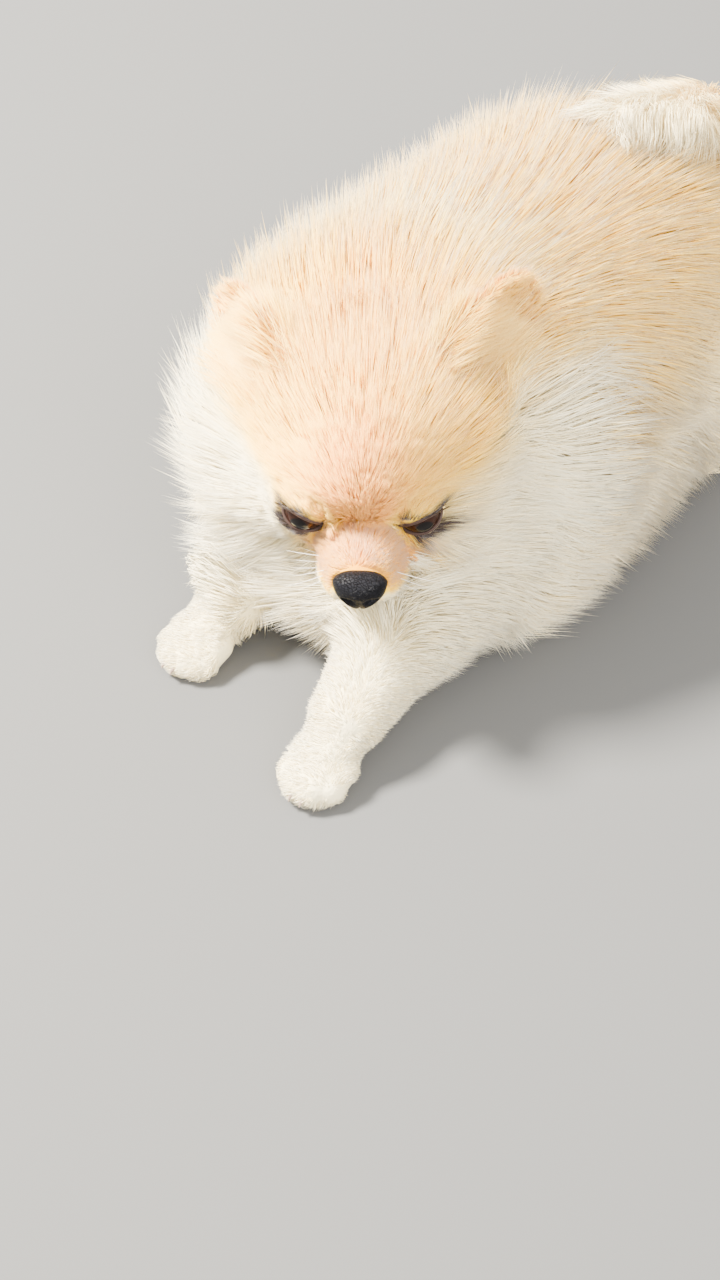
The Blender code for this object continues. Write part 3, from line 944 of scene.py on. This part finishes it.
def clear_of_eyes(curves):
    """Which tufts leave the slits between the lids free."""
    free = np.ones(len(curves), bool)
    for side in SIDES:
        local = apply_matrix(eye_frame(side).inverted(), curves.reshape(-1, 3))
        rise = np.where(local[:, 2] > 0, LID_RISE, LID_DROP)
        over = (local[:, 0] / LID_HALF_WIDTH) ** 2 + (local[:, 2] / rise) ** 2
        over = (over < 1) & (local[:, 1] < 0) & (np.linalg.norm(local, axis=1) < EYE_RADIUS + 8)
        free &= ~over.reshape(curves.shape[:2]).any(axis=1)
    return free


def clear_of_nose(curves):
    """Which tufts leave the nose free."""
    head = apply_matrix(head_frame().inverted(), curves.reshape(-1, 3)) - np.array(NOSE_AT)
    over = ((head / (np.array(NOSE_SIZE) / 2)) ** 2).sum(axis=1) < 1.15
    return ~over.reshape(curves.shape[:2]).any(axis=1)


def tuft_density(surface, depth):
    """How close the tufts stand: closer where the coat is short and on the face, thin underneath."""
    head = apply_matrix(head_frame().inverted(), surface.corners)
    density = 1 / (0.30 + 0.034 * depth)
    density *= 1 + 0.9 * smooth_step(46, 30, np.linalg.norm(head + np.array([0, 8, 0]), axis=1))
    density *= 1 + 1.5 * smooth_step(-8, -16, head[:, 1]) * smooth_step(-16, -8, head[:, 2])
    underneath = (surface.normals[:, 2] < -0.5) & (surface.corners[:, 2] < 12)
    return density * np.where(underneath, 0.15, 1)


# Materials

def add_node(tree, kind, feeds=None, values=None, **settings):
    """A node with its settings, the values of its inputs and the outputs that feed them."""
    made = tree.nodes.new(kind)
    for name, value in settings.items():
        setattr(made, name, value)
    set_inputs(made, values or {})
    for name, source in (feeds or {}).items():
        tree.links.new(source, made.inputs[name])
    return made


def set_inputs(node, values):
    for name, value in values.items():
        node.inputs[name].default_value = value


def new_group(name, kind, inputs, output, output_kind):
    """A node group with named inputs and one output: the tree, its inputs and its output's node."""
    tree = bpy.data.node_groups.new(name, kind)
    for title, socket in inputs.items():
        tree.interface.new_socket(title, in_out="INPUT", socket_type=socket)
    tree.interface.new_socket(output, in_out="OUTPUT", socket_type=output_kind)
    return tree, tree.nodes.new("NodeGroupInput").outputs, tree.nodes.new("NodeGroupOutput")


def new_material(name, roughness, specular):
    made = bpy.data.materials.new(name)
    made.use_nodes = True
    shader = made.node_tree.nodes["Principled BSDF"]
    set_inputs(shader, {"Roughness": roughness, "Specular IOR Level": specular})
    return made, made.node_tree, shader


@lru_cache(maxsize=None)
def grain_group():
    """An uneven grain over a surface, from 0 to 1."""
    numbers = {"Scale": "NodeSocketFloat", "Detail": "NodeSocketFloat"}
    tree, inside, outside = new_group("grain", "ShaderNodeTree", numbers, "Grain", "NodeSocketFloat")
    place = add_node(tree, "ShaderNodeTexCoord")
    feeds = {"Vector": place.outputs["Object"], "Scale": inside["Scale"], "Detail": inside["Detail"]}
    noise = add_node(tree, "ShaderNodeTexNoise", feeds)
    tree.links.new(noise.outputs["Fac"], outside.inputs["Grain"])
    return tree


def grain_of(tree, scale, detail):
    """The grain, as an output to feed other nodes of a material."""
    values = {"Scale": scale, "Detail": detail}
    return add_node(tree, "ShaderNodeGroup", None, values, node_tree=grain_group()).outputs["Grain"]


def add_bump(tree, shader, height, distance, strength=1.0):
    """Raises the finish where height is more, by distance millimetres at most."""
    values = {"Distance": distance * MM, "Strength": strength}
    bump = add_node(tree, "ShaderNodeBump", {"Height": height}, values)
    tree.links.new(bump.outputs["Normal"], shader.inputs["Normal"])


def add_tint(tree, shader, share, first, second):
    """Colours the finish from the first colour to the second by share."""
    values = {"A": (*first, 1), "B": (*second, 1)}
    tint = add_node(tree, "ShaderNodeMix", {"Factor": share}, values, data_type="RGBA")
    tree.links.new(tint.outputs["Result"], shader.inputs["Base Color"])


@lru_cache(maxsize=None)
def fur_colour_group():
    """The coat's colours, mixed from its markings and from where along a tuft a point lies."""
    inputs = dict.fromkeys(FUR_COLOURS, "NodeSocketColor")
    inputs.update(dict.fromkeys(FUR_MARKS, "NodeSocketFloat"))
    tree, inside, outside = new_group(
        "fur colour", "ShaderNodeTree", inputs, "Color", "NodeSocketColor"
    )

    def mapped(source, from_low, from_high, to_low=0.0, to_high=1.0, way="SMOOTHSTEP"):
        limits = {"From Min": from_low, "From Max": from_high, "To Min": to_low, "To Max": to_high}
        ramp = add_node(tree, "ShaderNodeMapRange", {"Value": source}, limits, interpolation_type=way)
        return ramp.outputs["Result"]

    def mixed(first, second, factor):
        feeds = {"Factor": factor, "A": first, "B": second}
        return add_node(tree, "ShaderNodeMix", feeds, data_type="RGBA").outputs["Result"]

    place = add_node(tree, "ShaderNodeTexCoord")
    patches = add_node(
        tree, "ShaderNodeTexNoise", {"Vector": place.outputs["Object"]}, {"Scale": FUR_PATCHES, "Detail": 3}
    )
    feeds = {0: patches.outputs["Fac"], 2: inside["Warmth"]}
    uneven = add_node(tree, "ShaderNodeMath", feeds, {1: 0.16}, operation="MULTIPLY_ADD")
    feeds = {0: uneven.outputs[0]}
    shifted = add_node(tree, "ShaderNodeMath", feeds, {1: 0.08}, operation="SUBTRACT", use_clamp=True)
    warmth = shifted.outputs[0]
    colour = mixed(inside["White"], inside["Cream"], mapped(warmth, 0, 0.55, way="LINEAR"))
    colour = mixed(colour, inside["Orange"], mapped(warmth, 0.45, 1.0))
    colour = mixed(colour, inside["Pink"], inside["Pinkness"])
    colour = mixed(colour, inside["Dark"], inside["Darkness"])
    # The saturation rises towards each tuft's root: painted shade of the coat over itself
    feeds = {
        "Color": colour,
        "Value": mapped(inside["Chance"], 0, 1, 0.94, 1.05),
        "Saturation": mapped(inside["Along"], 0, 1, 1.12, 0.92),
    }
    varied = add_node(tree, "ShaderNodeHueSaturation", feeds)
    tree.links.new(varied.outputs["Color"], outside.inputs["Color"])
    return tree


def fur_material(name, roughness=0.62):
    """A fur finish that reads the markings stored in a mesh."""
    settings = bpy.context.scene.puppy_coat
    made, tree, shader = new_material(name, roughness, 0.25)
    colours = (settings.white, settings.cream, settings.orange, PINK_SKIN, DARK_RIM_AND_SHADE)
    values = {title: (*colour, 1) for title, colour in zip(FUR_COLOURS, colours)}
    feeds = {}
    for mark in FUR_MARKS:
        feeds[mark] = add_node(tree, "ShaderNodeAttribute", attribute_name=mark.lower()).outputs["Fac"]
    group = add_node(tree, "ShaderNodeGroup", feeds, values, node_tree=fur_colour_group())
    tree.links.new(group.outputs["Color"], shader.inputs["Base Color"])
    set_inputs(shader, {"Sheen Weight": 0.25, "Sheen Roughness": 0.5})
    return made, tree, shader


def skin_material():
    made, tree, shader = fur_material("short undercoat", 0.8)
    add_bump(tree, shader, grain_of(tree, 900, 4), 0.4, 0.6)
    return made


def rim_material(name, colour, roughness):
    """Moist dark skin with a fine uneven surface."""
    made, tree, shader = new_material(name, roughness, 0.2)
    grain = grain_of(tree, 1400, 3)
    add_tint(tree, shader, grain, colour, [part * 1.8 + 0.004 for part in colour])
    add_bump(tree, shader, grain, 0.15)
    return made


def nose_material():
    """Black leather with fine pebbles, with painted shade in the grooves between them and painted light on
    their tops.
    """
    made, tree, shader = new_material("nose leather", 0.45, 0.06)
    colour = bpy.context.scene.puppy_face.nose
    place = add_node(tree, "ShaderNodeTexCoord")
    pebbles = add_node(
        tree,
        "ShaderNodeTexVoronoi",
        {"Vector": place.outputs["Object"]},
        {"Scale": NOSE_PEBBLES},
        feature="DISTANCE_TO_EDGE",
    )
    edge = add_node(
        tree, "ShaderNodeMapRange", {"Value": pebbles.outputs["Distance"]}, {"From Max": 0.12}
    ).outputs["Result"]
    # Painted shade and light: darker in the grooves between the pebbles, lighter on their tops
    add_tint(tree, shader, edge, [part * 0.6 for part in colour], [part * 1.9 for part in colour])
    add_bump(tree, shader, edge, 0.22)
    return made


def eye_material():
    """Black pupil, dark brown iris and a darker edge, by the distance from the eye's axis."""
    made, tree, shader = new_material("wet eye", 0.07, 0.16)
    iris = bpy.context.scene.puppy_face.iris
    ring = add_node(tree, "ShaderNodeAttribute", attribute_name="ring")
    ramp = add_node(tree, "ShaderNodeValToRGB", {"Fac": ring.outputs["Fac"]})
    places = (0.0, 0.36, 0.44, 0.62, 0.70, 0.95)
    colours = (PUPIL_BLACK, PUPIL_BLACK, iris, iris, DARK_RIM_AND_SHADE, DARK_RIM_AND_SHADE)
    elements = ramp.color_ramp.elements
    while len(elements) < len(places):
        elements.new(0.5)
    for element, at, colour in zip(elements, places, colours):
        element.position = at
        element.color = (*colour, 1)
    tree.links.new(ramp.outputs["Color"], shader.inputs["Base Color"])
    return made


# Pieces that follow a path

@lru_cache(maxsize=None)
def path_tube_tree():
    """Geometry nodes that turn edges, each corner with its own thickness, into round tubes."""
    inputs = {
        "Geometry": "NodeSocketGeometry",
        "Sides": "NodeSocketInt",
        "Finish": "NodeSocketMaterial",
    }
    tree, inside, outside = new_group(
        "tube along a path", "GeometryNodeTree", inputs, "Geometry", "NodeSocketGeometry"
    )
    line = add_node(tree, "GeometryNodeMeshToCurve", {"Mesh": inside["Geometry"]})
    thickness = add_node(
        tree, "GeometryNodeInputNamedAttribute", None, {"Name": "thickness"}, data_type="FLOAT"
    )
    circle = add_node(
        tree, "GeometryNodeCurvePrimitiveCircle", {"Resolution": inside["Sides"]}, {"Radius": 1}
    )
    feeds = {
        "Curve": line.outputs["Curve"],
        "Profile Curve": circle.outputs["Curve"],
        "Scale": thickness.outputs["Attribute"],
    }
    tube = add_node(tree, "GeometryNodeCurveToMesh", feeds, {"Fill Caps": True})
    realize = add_node(tree, "GeometryNodeRealizeInstances", {"Geometry": tube.outputs["Mesh"]})
    feeds = {"Geometry": realize.outputs["Geometry"], "Material": inside["Finish"]}
    finish = add_node(tree, "GeometryNodeSetMaterial", feeds)
    tree.links.new(finish.outputs["Geometry"], outside.inputs["Geometry"])
    return tree


def tubes_along(name, paths, material, sides, closed=False):
    """Round tubes along paths of (point, radius) pairs in the puppy's frame, as one object."""
    corners = []
    edges = []
    radii = []
    world = to_world()
    for path in paths:
        start = len(corners)
        corners += [tuple(world @ Vector(point)) for point, _ in path]
        radii += [radius * MM for _, radius in path]
        edges += [(start + i, start + i + 1) for i in range(len(path) - 1)]
        if closed:
            edges.append((len(corners) - 1, start))
    mesh = bpy.data.meshes.new(name)
    mesh.from_pydata(corners, edges, [])
    set_values(mesh, thickness=np.array(radii))
    obj = link(bpy.data.objects.new(name, mesh))
    tree = path_tube_tree()
    nodes = obj.modifiers.new("tube", "NODES")
    nodes.node_group = tree
    values = {"Sides": sides, "Finish": material}
    for item in tree.interface.items_tree:
        if item.in_out == "INPUT" and item.name in values:
            nodes[item.identifier] = values[item.name]
    apply_modifiers(obj)
    shape = bmesh.new()
    shape.from_mesh(obj.data)
    bmesh.ops.remove_doubles(shape, verts=shape.verts, dist=0.001 * MM)
    bmesh.ops.recalc_face_normals(shape, faces=shape.faces)
    shape.to_mesh(obj.data)
    shape.free()
    obj.data.shade_smooth()
    return obj


def slit_point(side, angle, radius):
    """A point of the lids' margin, on a ball of this radius round the eye."""
    x = math.cos(angle) * LID_HALF_WIDTH
    z = math.sin(angle) * (LID_RISE if math.sin(angle) > 0 else LID_DROP)
    depth = math.sqrt(max(radius**2 - x**2 - z**2, 0.5))
    return eye_frame(side) @ Vector((x, -depth, z))


# Operators

class PUPPY_OT_skin(bpy.types.Operator):
    """One skin for all the flesh, inside the solids"""

    bl_idname = "puppy.skin"
    bl_label = "Skin"

    def execute(self, context):
        obj, surface, _ = skin_surface()
        warm, pink, dark = markings(surface.corners)
        set_values(obj.data, warmth=warm, pinkness=pink, darkness=dark, along=0.2, chance=0.3)
        # These two read the skin in the puppy's own frame, so they come before it goes to its place
        guides()
        skin_unwrap()
        obj.data.transform(to_world())
        obj.data.shade_smooth()
        finish_piece(obj, skin_material(), FLESH)
        return {"FINISHED"}


class PUPPY_OT_coat(bpy.types.Operator):
    """The coat, in pieces by its parts, tuft by tuft"""

    bl_idname = "puppy.coat"
    bl_label = "Coat"

    def execute(self, context):
        _, surface, depth = skin_surface()
        settings = context.scene.puppy_coat
        rng = np.random.default_rng(settings.seed + 1)
        wanted = int(settings.tufts * (1))
        picks, shares = sample(surface, tuft_density(surface, depth), wanted, rng)
        order = rng.permutation(wanted)
        picks, shares = picks[order], shares[order]
        roots, depths, curves, ups = tuft_curves(picks, shares, surface, depth, rng)
        keep = clear_of_eyes(curves) & clear_of_nose(curves)
        names = region_of(roots, depths)
        warm, pink, dark = markings(roots)
        dark = dark * smooth_step(4.2, 2.2, depths)
        warm = np.clip(warm + rng.normal(0, 0.045, wanted), 0, 1)
        chance = rng.random(wanted)
        root_uv = unwrap_places(roots)
        material, _, _ = fur_material("fur")
        widths = (0.18 + 0.0105 * depths) * settings.width * rng.uniform(0.75, 1.25, wanted)
        for name in sorted(set(names)):
            numbers = np.flatnonzero(keep & (names == name))
            parts = max(math.ceil(len(numbers) / MOST_TUFTS), 1)
            for part in range(parts):
                chosen = numbers[part::parts]
                title = "coat_" + name + ("_" + str(part + 1) if parts > 1 else "")
                obj, per = tuft_piece(
                    title, curves[chosen], ups[chosen], widths[chosen], root_uv[chosen], rng
                )
                colours = {"warmth": warm, "pinkness": pink, "darkness": dark, "chance": chance}
                set_values(obj.data, per, **{key: values[chosen] for key, values in colours.items()})
                finish_piece(obj, material)
        return {"FINISHED"}


class PUPPY_OT_ears(bpy.types.Operator):
    """Cupped ears with short fur outside and longer, paler fur inside"""

    bl_idname = "puppy.ears"
    bl_label = "Ears"

    def execute(self, context):
        for number, side in enumerate(SIDES):
            rng = np.random.default_rng(context.scene.puppy_coat.seed + 20 + number)
            obj, up, ahead = self.leaf(side)
            surface = surface_of(obj)
            self.cover(surface, side, up, ahead, rng)
            facing = np.clip((surface.normals @ np.array(ahead)) * 2, 0, 1)
            warm = 0.85 - 0.45 * facing
            pink = 0.35 * facing
            set_values(obj.data, warmth=warm, pinkness=pink, darkness=0, along=0.3, chance=0.3)
            obj.data.transform(to_world())
            obj.data.shade_smooth()
            finish_piece(obj, skin_material(), ["ear_" + side])
        return {"FINISHED"}

    def leaf(self, side):
        """The ear's shell, the way that it points and the way that its cup opens."""
        base = mirrored(EAR_BASE, side)
        tip = mirrored(EAR_TIPS[side], side)
        up = (tip - base).normalized()
        length = (tip - base).length
        ahead = mirrored(Vector((0.35, -0.9, 0.15)), side)
        ahead = (ahead - up * ahead.dot(up)).normalized()
        across = up.cross(ahead)
        shape = bmesh.new()
        bmesh.ops.create_grid(shape, x_segments=14, y_segments=18, size=1)
        for vert in shape.verts:
            u = vert.co.x
            v = (vert.co.y + 1) / 2
            taper = 0.16 + 0.84 * math.sqrt(max(1 - v**2.4, 0))
            width = EAR_WIDTH / 2 * taper * (0.8 + 0.35 * min(v * 2.5, 1))
            forward = EAR_CUP * (u * u - 0.6) * (1 - 0.55 * v) - 2.5 * v * v
            vert.co = base + up * length * (v * 1.12 - 0.12) + across * width * u + ahead * forward
        bmesh.ops.transform(shape, matrix=head_frame(), verts=shape.verts)
        obj = object_of(shape, "ear_shell_" + side)
        thick = obj.modifiers.new("thick", "SOLIDIFY")
        thick.thickness = EAR_THICKNESS
        thick.offset = 0
        flat = obj.modifiers.new("triangles", "TRIANGULATE")
        flat.quad_method = "FIXED"
        apply_modifiers(obj)
        turn = head_frame().to_3x3()
        return obj, turn @ up, turn @ ahead

    def cover(self, surface, side, up, ahead, rng):
        """Fur all over an ear, longest low down and in the cup."""
        base = head_frame() @ mirrored(EAR_BASE, side)
        count = int(EAR_TUFTS * (1))
        picks, shares = sample(surface, np.ones(len(surface.corners)), count, rng)
        roots = at_places(surface.corners, surface, picks, shares)
        normals = unit(at_places(surface.normals, surface, picks, shares))
        inside = np.clip((normals @ np.array(ahead)) * 2, 0, 1)
        high = np.clip((roots - np.array(base)) @ np.array(up) / (EAR_TIPS[side] - EAR_BASE).length, 0, 1)
        low = smooth_step(0.72, 0.35, high)
        length = (4.5 + 9.5 * low + 2 * inside) * (1.05 - 0.35 * high) * rng.uniform(0.75, 1.15, count)
        rise = np.array(up) * 0.9 + normals * (0.40 + 0.30 * inside + 0.25 * low)[:, None]
        way = unit(rise + rng.normal(0, 0.13, (count, 3)))
        steps = np.linspace(0, 1, WALK_STEPS + 1)
        curves = roots[:, None] + way[:, None] * (length[:, None] * steps)[:, :, None]
        curves += np.array(up)[None, None] * (length[:, None] * steps**2 * 0.25)[:, :, None]
        curves = clumped(curves, roots, 0.5, rng)
        curves[:, 0] = roots - normals * 0.3
        ups = np.repeat(normals[:, None], WALK_STEPS + 1, axis=1)
        widths = EAR_TUFT_WIDTH * rng.uniform(0.8, 1.2, count)
        fur, per = tuft_piece("ear_fur_" + side, curves, ups, widths, unwrap_places(roots), rng)
        warm = (0.95 - 0.30 * inside) * (1 - low) + 0.52 * low + rng.normal(0, 0.05, count)
        warm = np.clip(warm, 0, 1)
        chance = rng.random(count)
        set_values(fur.data, per, warmth=warm, pinkness=0.10 * inside, darkness=0, chance=chance)
        material, _, _ = fur_material("ear fur " + side)
        finish_piece(fur, material)


class PUPPY_OT_eyes(bpy.types.Operator):
    """Eyeballs, lids' margins, inner corners and lashes"""

    bl_idname = "puppy.eyes"
    bl_label = "Eyes"

    def execute(self, context):
        rim = rim_material("lid margin", context.scene.puppy_face.rim, 0.5)
        corner = rim_material("inner corner", CORNER_RED, 0.2)
        lash = rim_material("lashes", LASH_BROWN, 0.5)
        eye = eye_material()
        for side in SIDES:
            self.ball(side, eye)
            self.margin(side, rim)
            self.inner_corner(side, corner)
            self.lashes(side, lash)
        return {"FINISHED"}

    def ball(self, side, finish):
        shape = bmesh.new()
        bmesh.ops.create_uvsphere(shape, u_segments=40, v_segments=28, radius=EYE_RADIUS)
        upright = Matrix.Rotation(math.radians(90), 3, "X")
        bmesh.ops.rotate(shape, verts=shape.verts, matrix=upright)
        for vert in shape.verts:
            off = vert.co.xz.length if vert.co.y < 0 else EYE_RADIUS
            vert.co.y -= CORNEA_RISE * max(1 - (off / CORNEA_RADIUS) ** 2, 0)
        ball = object_of(shape, "eyeball_" + side)
        places = np.array([vert.co for vert in ball.data.vertices])
        away = np.hypot(places[:, 0], places[:, 2]) / EYE_RADIUS
        set_values(ball.data, ring=np.where(places[:, 1] < 0, away, 1))
        ball.data.transform(to_world() @ eye_frame(side))
        ball.data.shade_smooth()
        finish_piece(ball, finish, ["eye_" + side])

    def margin(self, side, finish):
        ring = []
        for k in range(44):
            angle = math.tau * k / 44
            ring.append((slit_point(side, angle, EYE_RADIUS + 0.35), 0.45 + 0.2 * max(math.sin(angle), 0)))
        finish_piece(tubes_along("lid_margin_" + side, [ring], finish, 10, closed=True), finish)

    def inner_corner(self, side, finish):
        inner = math.pi if side == "left" else 0.0
        spot = eye_frame(side).inverted() @ slit_point(side, inner, EYE_RADIUS + 0.2)
        spot.x *= 0.9
        shells = []
        add_ellipsoid(shells, spot, (1.4, 0.8, 0.9))
        title = "eye_corner_" + side
        bead = link(bpy.data.objects.new(title, mesh_of(title, *joined(shells))))
        bead.data.transform(to_world() @ eye_frame(side))
        bead.data.shade_smooth()
        finish_piece(bead, finish)

    def lashes(self, side, finish):
        """Lashes on the upper lid, from the outer corner inwards, each shorter and more upright."""
        way = SIDES[side]
        outer = 0.0 if side == "left" else math.pi
        paths = []
        for k in range(LASHES):
            start = slit_point(side, outer + (0.05 + 0.12 * k) * way, EYE_RADIUS + 0.8)
            out = eye_frame(side).to_3x3() @ Vector((1.6 * way - 0.05 * k * way, -0.5, 0.75))
            reach = LASH_LENGTH - 0.12 * k
            paths.append([(start + out.normalized() * reach * at, radius) for at, radius in LASH])
        finish_piece(tubes_along("lashes_" + side, paths, finish, 5), finish)


class PUPPY_OT_nose(bpy.types.Operator):
    """The nose, with its nostrils and the groove under them"""

    bl_idname = "puppy.nose"
    bl_label = "Nose"

    def execute(self, context):
        shape = bmesh.new()
        bmesh.ops.create_uvsphere(shape, u_segments=72, v_segments=48, radius=1)
        for vert in shape.verts:
            vert.co = self.shaped(vert.co) + NOSE_AT
        nose = object_of(shape, "nose_leather")
        nose.data.transform(to_world() @ head_frame())
        nose.data.shade_smooth()
        finish_piece(nose, nose_material(), ["nose"])
        return {"FINISHED"}

    def shaped(self, ball):
        """A point of the nose, round its middle, from the same point of a ball of radius 1."""
        half = NOSE_SIZE / 2
        square = Vector([math.copysign(abs(part) ** 0.86, part) for part in ball])
        place = Vector((square.x * half.x, square.y * half.y, square.z * half.z))
        forward = min(max(-0.6 * ball.y - 0.5 * ball.z, -0.3), 1)
        place.x *= 1.10 - 0.52 * forward
        if ball.y >= 0:
            return place
        for way in (1, -1):
            offset = place - Vector((NOSTRIL_AT.x * way, NOSTRIL_AT.y, NOSTRIL_AT.z))
            slit = offset.x * way * 0.45 + offset.z * 0.3
            distance = (offset.x * 0.95) ** 2 / 2.2 + (offset.z + 0.25 * slit) ** 2
            place.y += NOSTRIL_DEPTH * math.exp(-distance)
            wing = (offset.x - 1.9 * way) ** 2 / 3.0 + (offset.z - 0.6) ** 2 / 3.5
            place.y -= NOSE_WING * math.exp(-wing)
        groove = math.exp(-((place.x / 0.45) ** 2)) * (0.5 + 0.5 * math.tanh((0.8 - place.z) * 1.5))
        place.y += NOSE_GROOVE * groove
        return place


class PUPPY_OT_mouth(bpy.types.Operator):
    """The lips' dark edge and the whiskers"""

    bl_idname = "puppy.mouth"
    bl_label = "Mouth"

    def execute(self, context):
        settings = context.scene.puppy_face
        self.lips(rim_material("lips", settings.rim, 0.4))
        pale = rim_material("whiskers", WHISKER_PALE, 0.5)
        if settings.whiskers:
            self.whiskers(settings.whiskers, pale)
        return {"FINISHED"}

    def lips(self, finish):
        line = []
        for k in range(33):
            angle = LIP_ARC * (k / 32 - 0.5)
            across = MOUTH_ROUND[0] * math.sin(angle)
            reach = Vector((across, -MOUTH_ROUND[1] * math.cos(angle), math.cos(angle) + 0.5))
            thickness = 0.25 + 0.45 * math.cos(angle / 2)
            line.append((head_frame() @ (MOUTH_AT + reach * 0.97), thickness))
        finish_piece(tubes_along("lips", [line], finish, 8), finish)

    def whiskers(self, count, finish):
        """Rows of three on each side of the muzzle, that bend back and down."""
        place = head_frame()
        rng = np.random.default_rng(31)
        paths = []
        for way in (1, -1):
            for k in range(count):
                row, column = divmod(k, 3)
                start = Vector((way * (7.5 + 0.6 * row), -33 + 3.6 * column, -4.5 - 2.4 * row))
                out = Vector((way * (0.9 + 0.1 * column), -0.25 + 0.38 * column, -0.15 - 0.16 * row))
                out.normalize()
                length = rng.uniform(*WHISKER_LENGTH)
                sag = Vector((0, 0.25, -0.22)) * length
                points = [place @ (start + out * length * at + sag * at * at) for at, _ in WHISKER]
                paths.append([(point, radius) for point, (_, radius) in zip(points, WHISKER)])
        finish_piece(tubes_along("whiskers", paths, finish, 5), finish)


class PUPPY_OT_claws(bpy.types.Operator):
    """Claws at the toes' tips"""

    bl_idname = "puppy.claws"
    bl_label = "Claws"

    def execute(self, context):
        horn = rim_material("claw horn", HORN, 0.35)
        for kind, legs in (("fore", FORELEG), ("hind", HINDLEG)):
            for side in SIDES:
                ahead, toes = toes_of(*legs[side][-2:])
                paths = []
                for front, _, radius in toes:
                    start = front + ahead * (radius - 1.6) + Vector((0, 0, 0.4))
                    paths.append([(start + ahead * out + Vector((0, 0, up)), r) for out, up, r in CLAW])
                title = "claws_" + kind + "_" + side
                finish_piece(tubes_along(title, paths, horn, 8), horn)
        return {"FINISHED"}


class PUPPY_OT_stage(bpy.types.Operator):
    """Pale floor, soft light and the camera"""

    bl_idname = "puppy.stage"
    bl_label = "Stage"

    def execute(self, context):
        settings = context.scene.puppy_stage
        self.floor(settings.floor)
        context.scene.camera = self.camera()
        self.lamp("key", KEY_AT, KEY_SIZE, settings.key, KEY_COLOUR)
        self.lamp("fill", FILL_AT, FILL_SIZE, settings.fill, FILL_COLOUR)
        world = bpy.data.worlds.new("studio")
        world.use_nodes = True
        sky = {"Color": (*SKY_COLOUR, 1), "Strength": settings.sky}
        set_inputs(world.node_tree.nodes["Background"], sky)
        context.scene.world = world
        return {"FINISHED"}

    def floor(self, colour):
        shape = bmesh.new()
        bmesh.ops.create_grid(shape, x_segments=1, y_segments=1, size=FLOOR_REACH)
        floor = object_of(shape, "floor")
        floor.data.transform(Matrix.Translation((0, 0, -FLOOR_DROP)))
        finish, _, shader = new_material("floor", 0.85, 0.5)
        set_inputs(shader, {"Base Color": (*colour, 1)})
        floor.data.materials.append(finish)

    def camera(self):
        level = math.cos(CAMERA_PITCH)
        right = math.cos(CAMERA_YAW)
        left = math.sin(CAMERA_YAW)
        forward = Vector((-left * level, right * level, -math.sin(CAMERA_PITCH)))
        camera = bpy.data.cameras.new("camera")
        camera.lens = CAMERA_LENS
        camera.sensor_width = SENSOR
        camera.sensor_fit = "AUTO"
        camera.clip_start = 0.01
        obj = link(bpy.data.objects.new("camera", camera))
        turn = forward.to_track_quat("-Z", "Y").to_matrix().to_4x4()
        obj.matrix_world = Matrix.Translation(to_world() @ Vector(CAMERA_AT)) @ turn
        return obj

    def lamp(self, name, at, size, power, colour):
        """A round soft light that shines on the puppy."""
        right = Vector((math.cos(CAMERA_YAW), math.sin(CAMERA_YAW), 0))
        away = Vector((-math.sin(CAMERA_YAW), math.cos(CAMERA_YAW), 0))
        place = LIT_MIDDLE + right * at[0] + away * at[1] + Vector((0, 0, at[2]))
        light = bpy.data.lights.new(name, "AREA")
        light.shape = "DISK"
        light.size = size
        light.energy = power
        light.color = colour
        obj = link(bpy.data.objects.new(name, light))
        turn = (LIT_MIDDLE - place).to_track_quat("-Z", "Y").to_matrix().to_4x4()
        obj.matrix_world = Matrix.Translation(place) @ turn


STEPS = (
    PUPPY_OT_stage,
    PUPPY_OT_skin,
    PUPPY_OT_coat,
    PUPPY_OT_ears,
    PUPPY_OT_eyes,
    PUPPY_OT_nose,
    PUPPY_OT_mouth,
    PUPPY_OT_claws,
)


class PUPPY_PT_panel(bpy.types.Panel):
    """The puppy's pieces, in the order that they are made"""

    bl_label = "Pomeranian puppy"
    bl_idname = "PUPPY_PT_panel"
    bl_space_type = "VIEW_3D"
    bl_region_type = "UI"
    bl_category = "Puppy"

    def draw(self, context):
        for settings in (context.scene.puppy_coat, context.scene.puppy_face, context.scene.puppy_stage):
            box = self.layout.box()
            for name in settings.__annotations__:
                box.prop(settings, name)
        for step in STEPS:
            self.layout.operator(step.bl_idname)


CLASSES = (PuppyCoat, PuppyFace, PuppyStage, *STEPS, PUPPY_PT_panel)


def register():
    for each in CLASSES:
        bpy.utils.register_class(each)
    bpy.types.Scene.puppy_coat = PointerProperty(type=PuppyCoat)
    bpy.types.Scene.puppy_face = PointerProperty(type=PuppyFace)
    bpy.types.Scene.puppy_stage = PointerProperty(type=PuppyStage)


def unregister():
    del bpy.types.Scene.puppy_coat
    del bpy.types.Scene.puppy_face
    del bpy.types.Scene.puppy_stage
    for each in reversed(CLASSES):
        bpy.utils.unregister_class(each)


def main():
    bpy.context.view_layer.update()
    register()
    for step in STEPS:
        prefix, name = step.bl_idname.split(".")
        getattr(getattr(bpy.ops, prefix), name)()


if __name__ == "__main__":
    main()
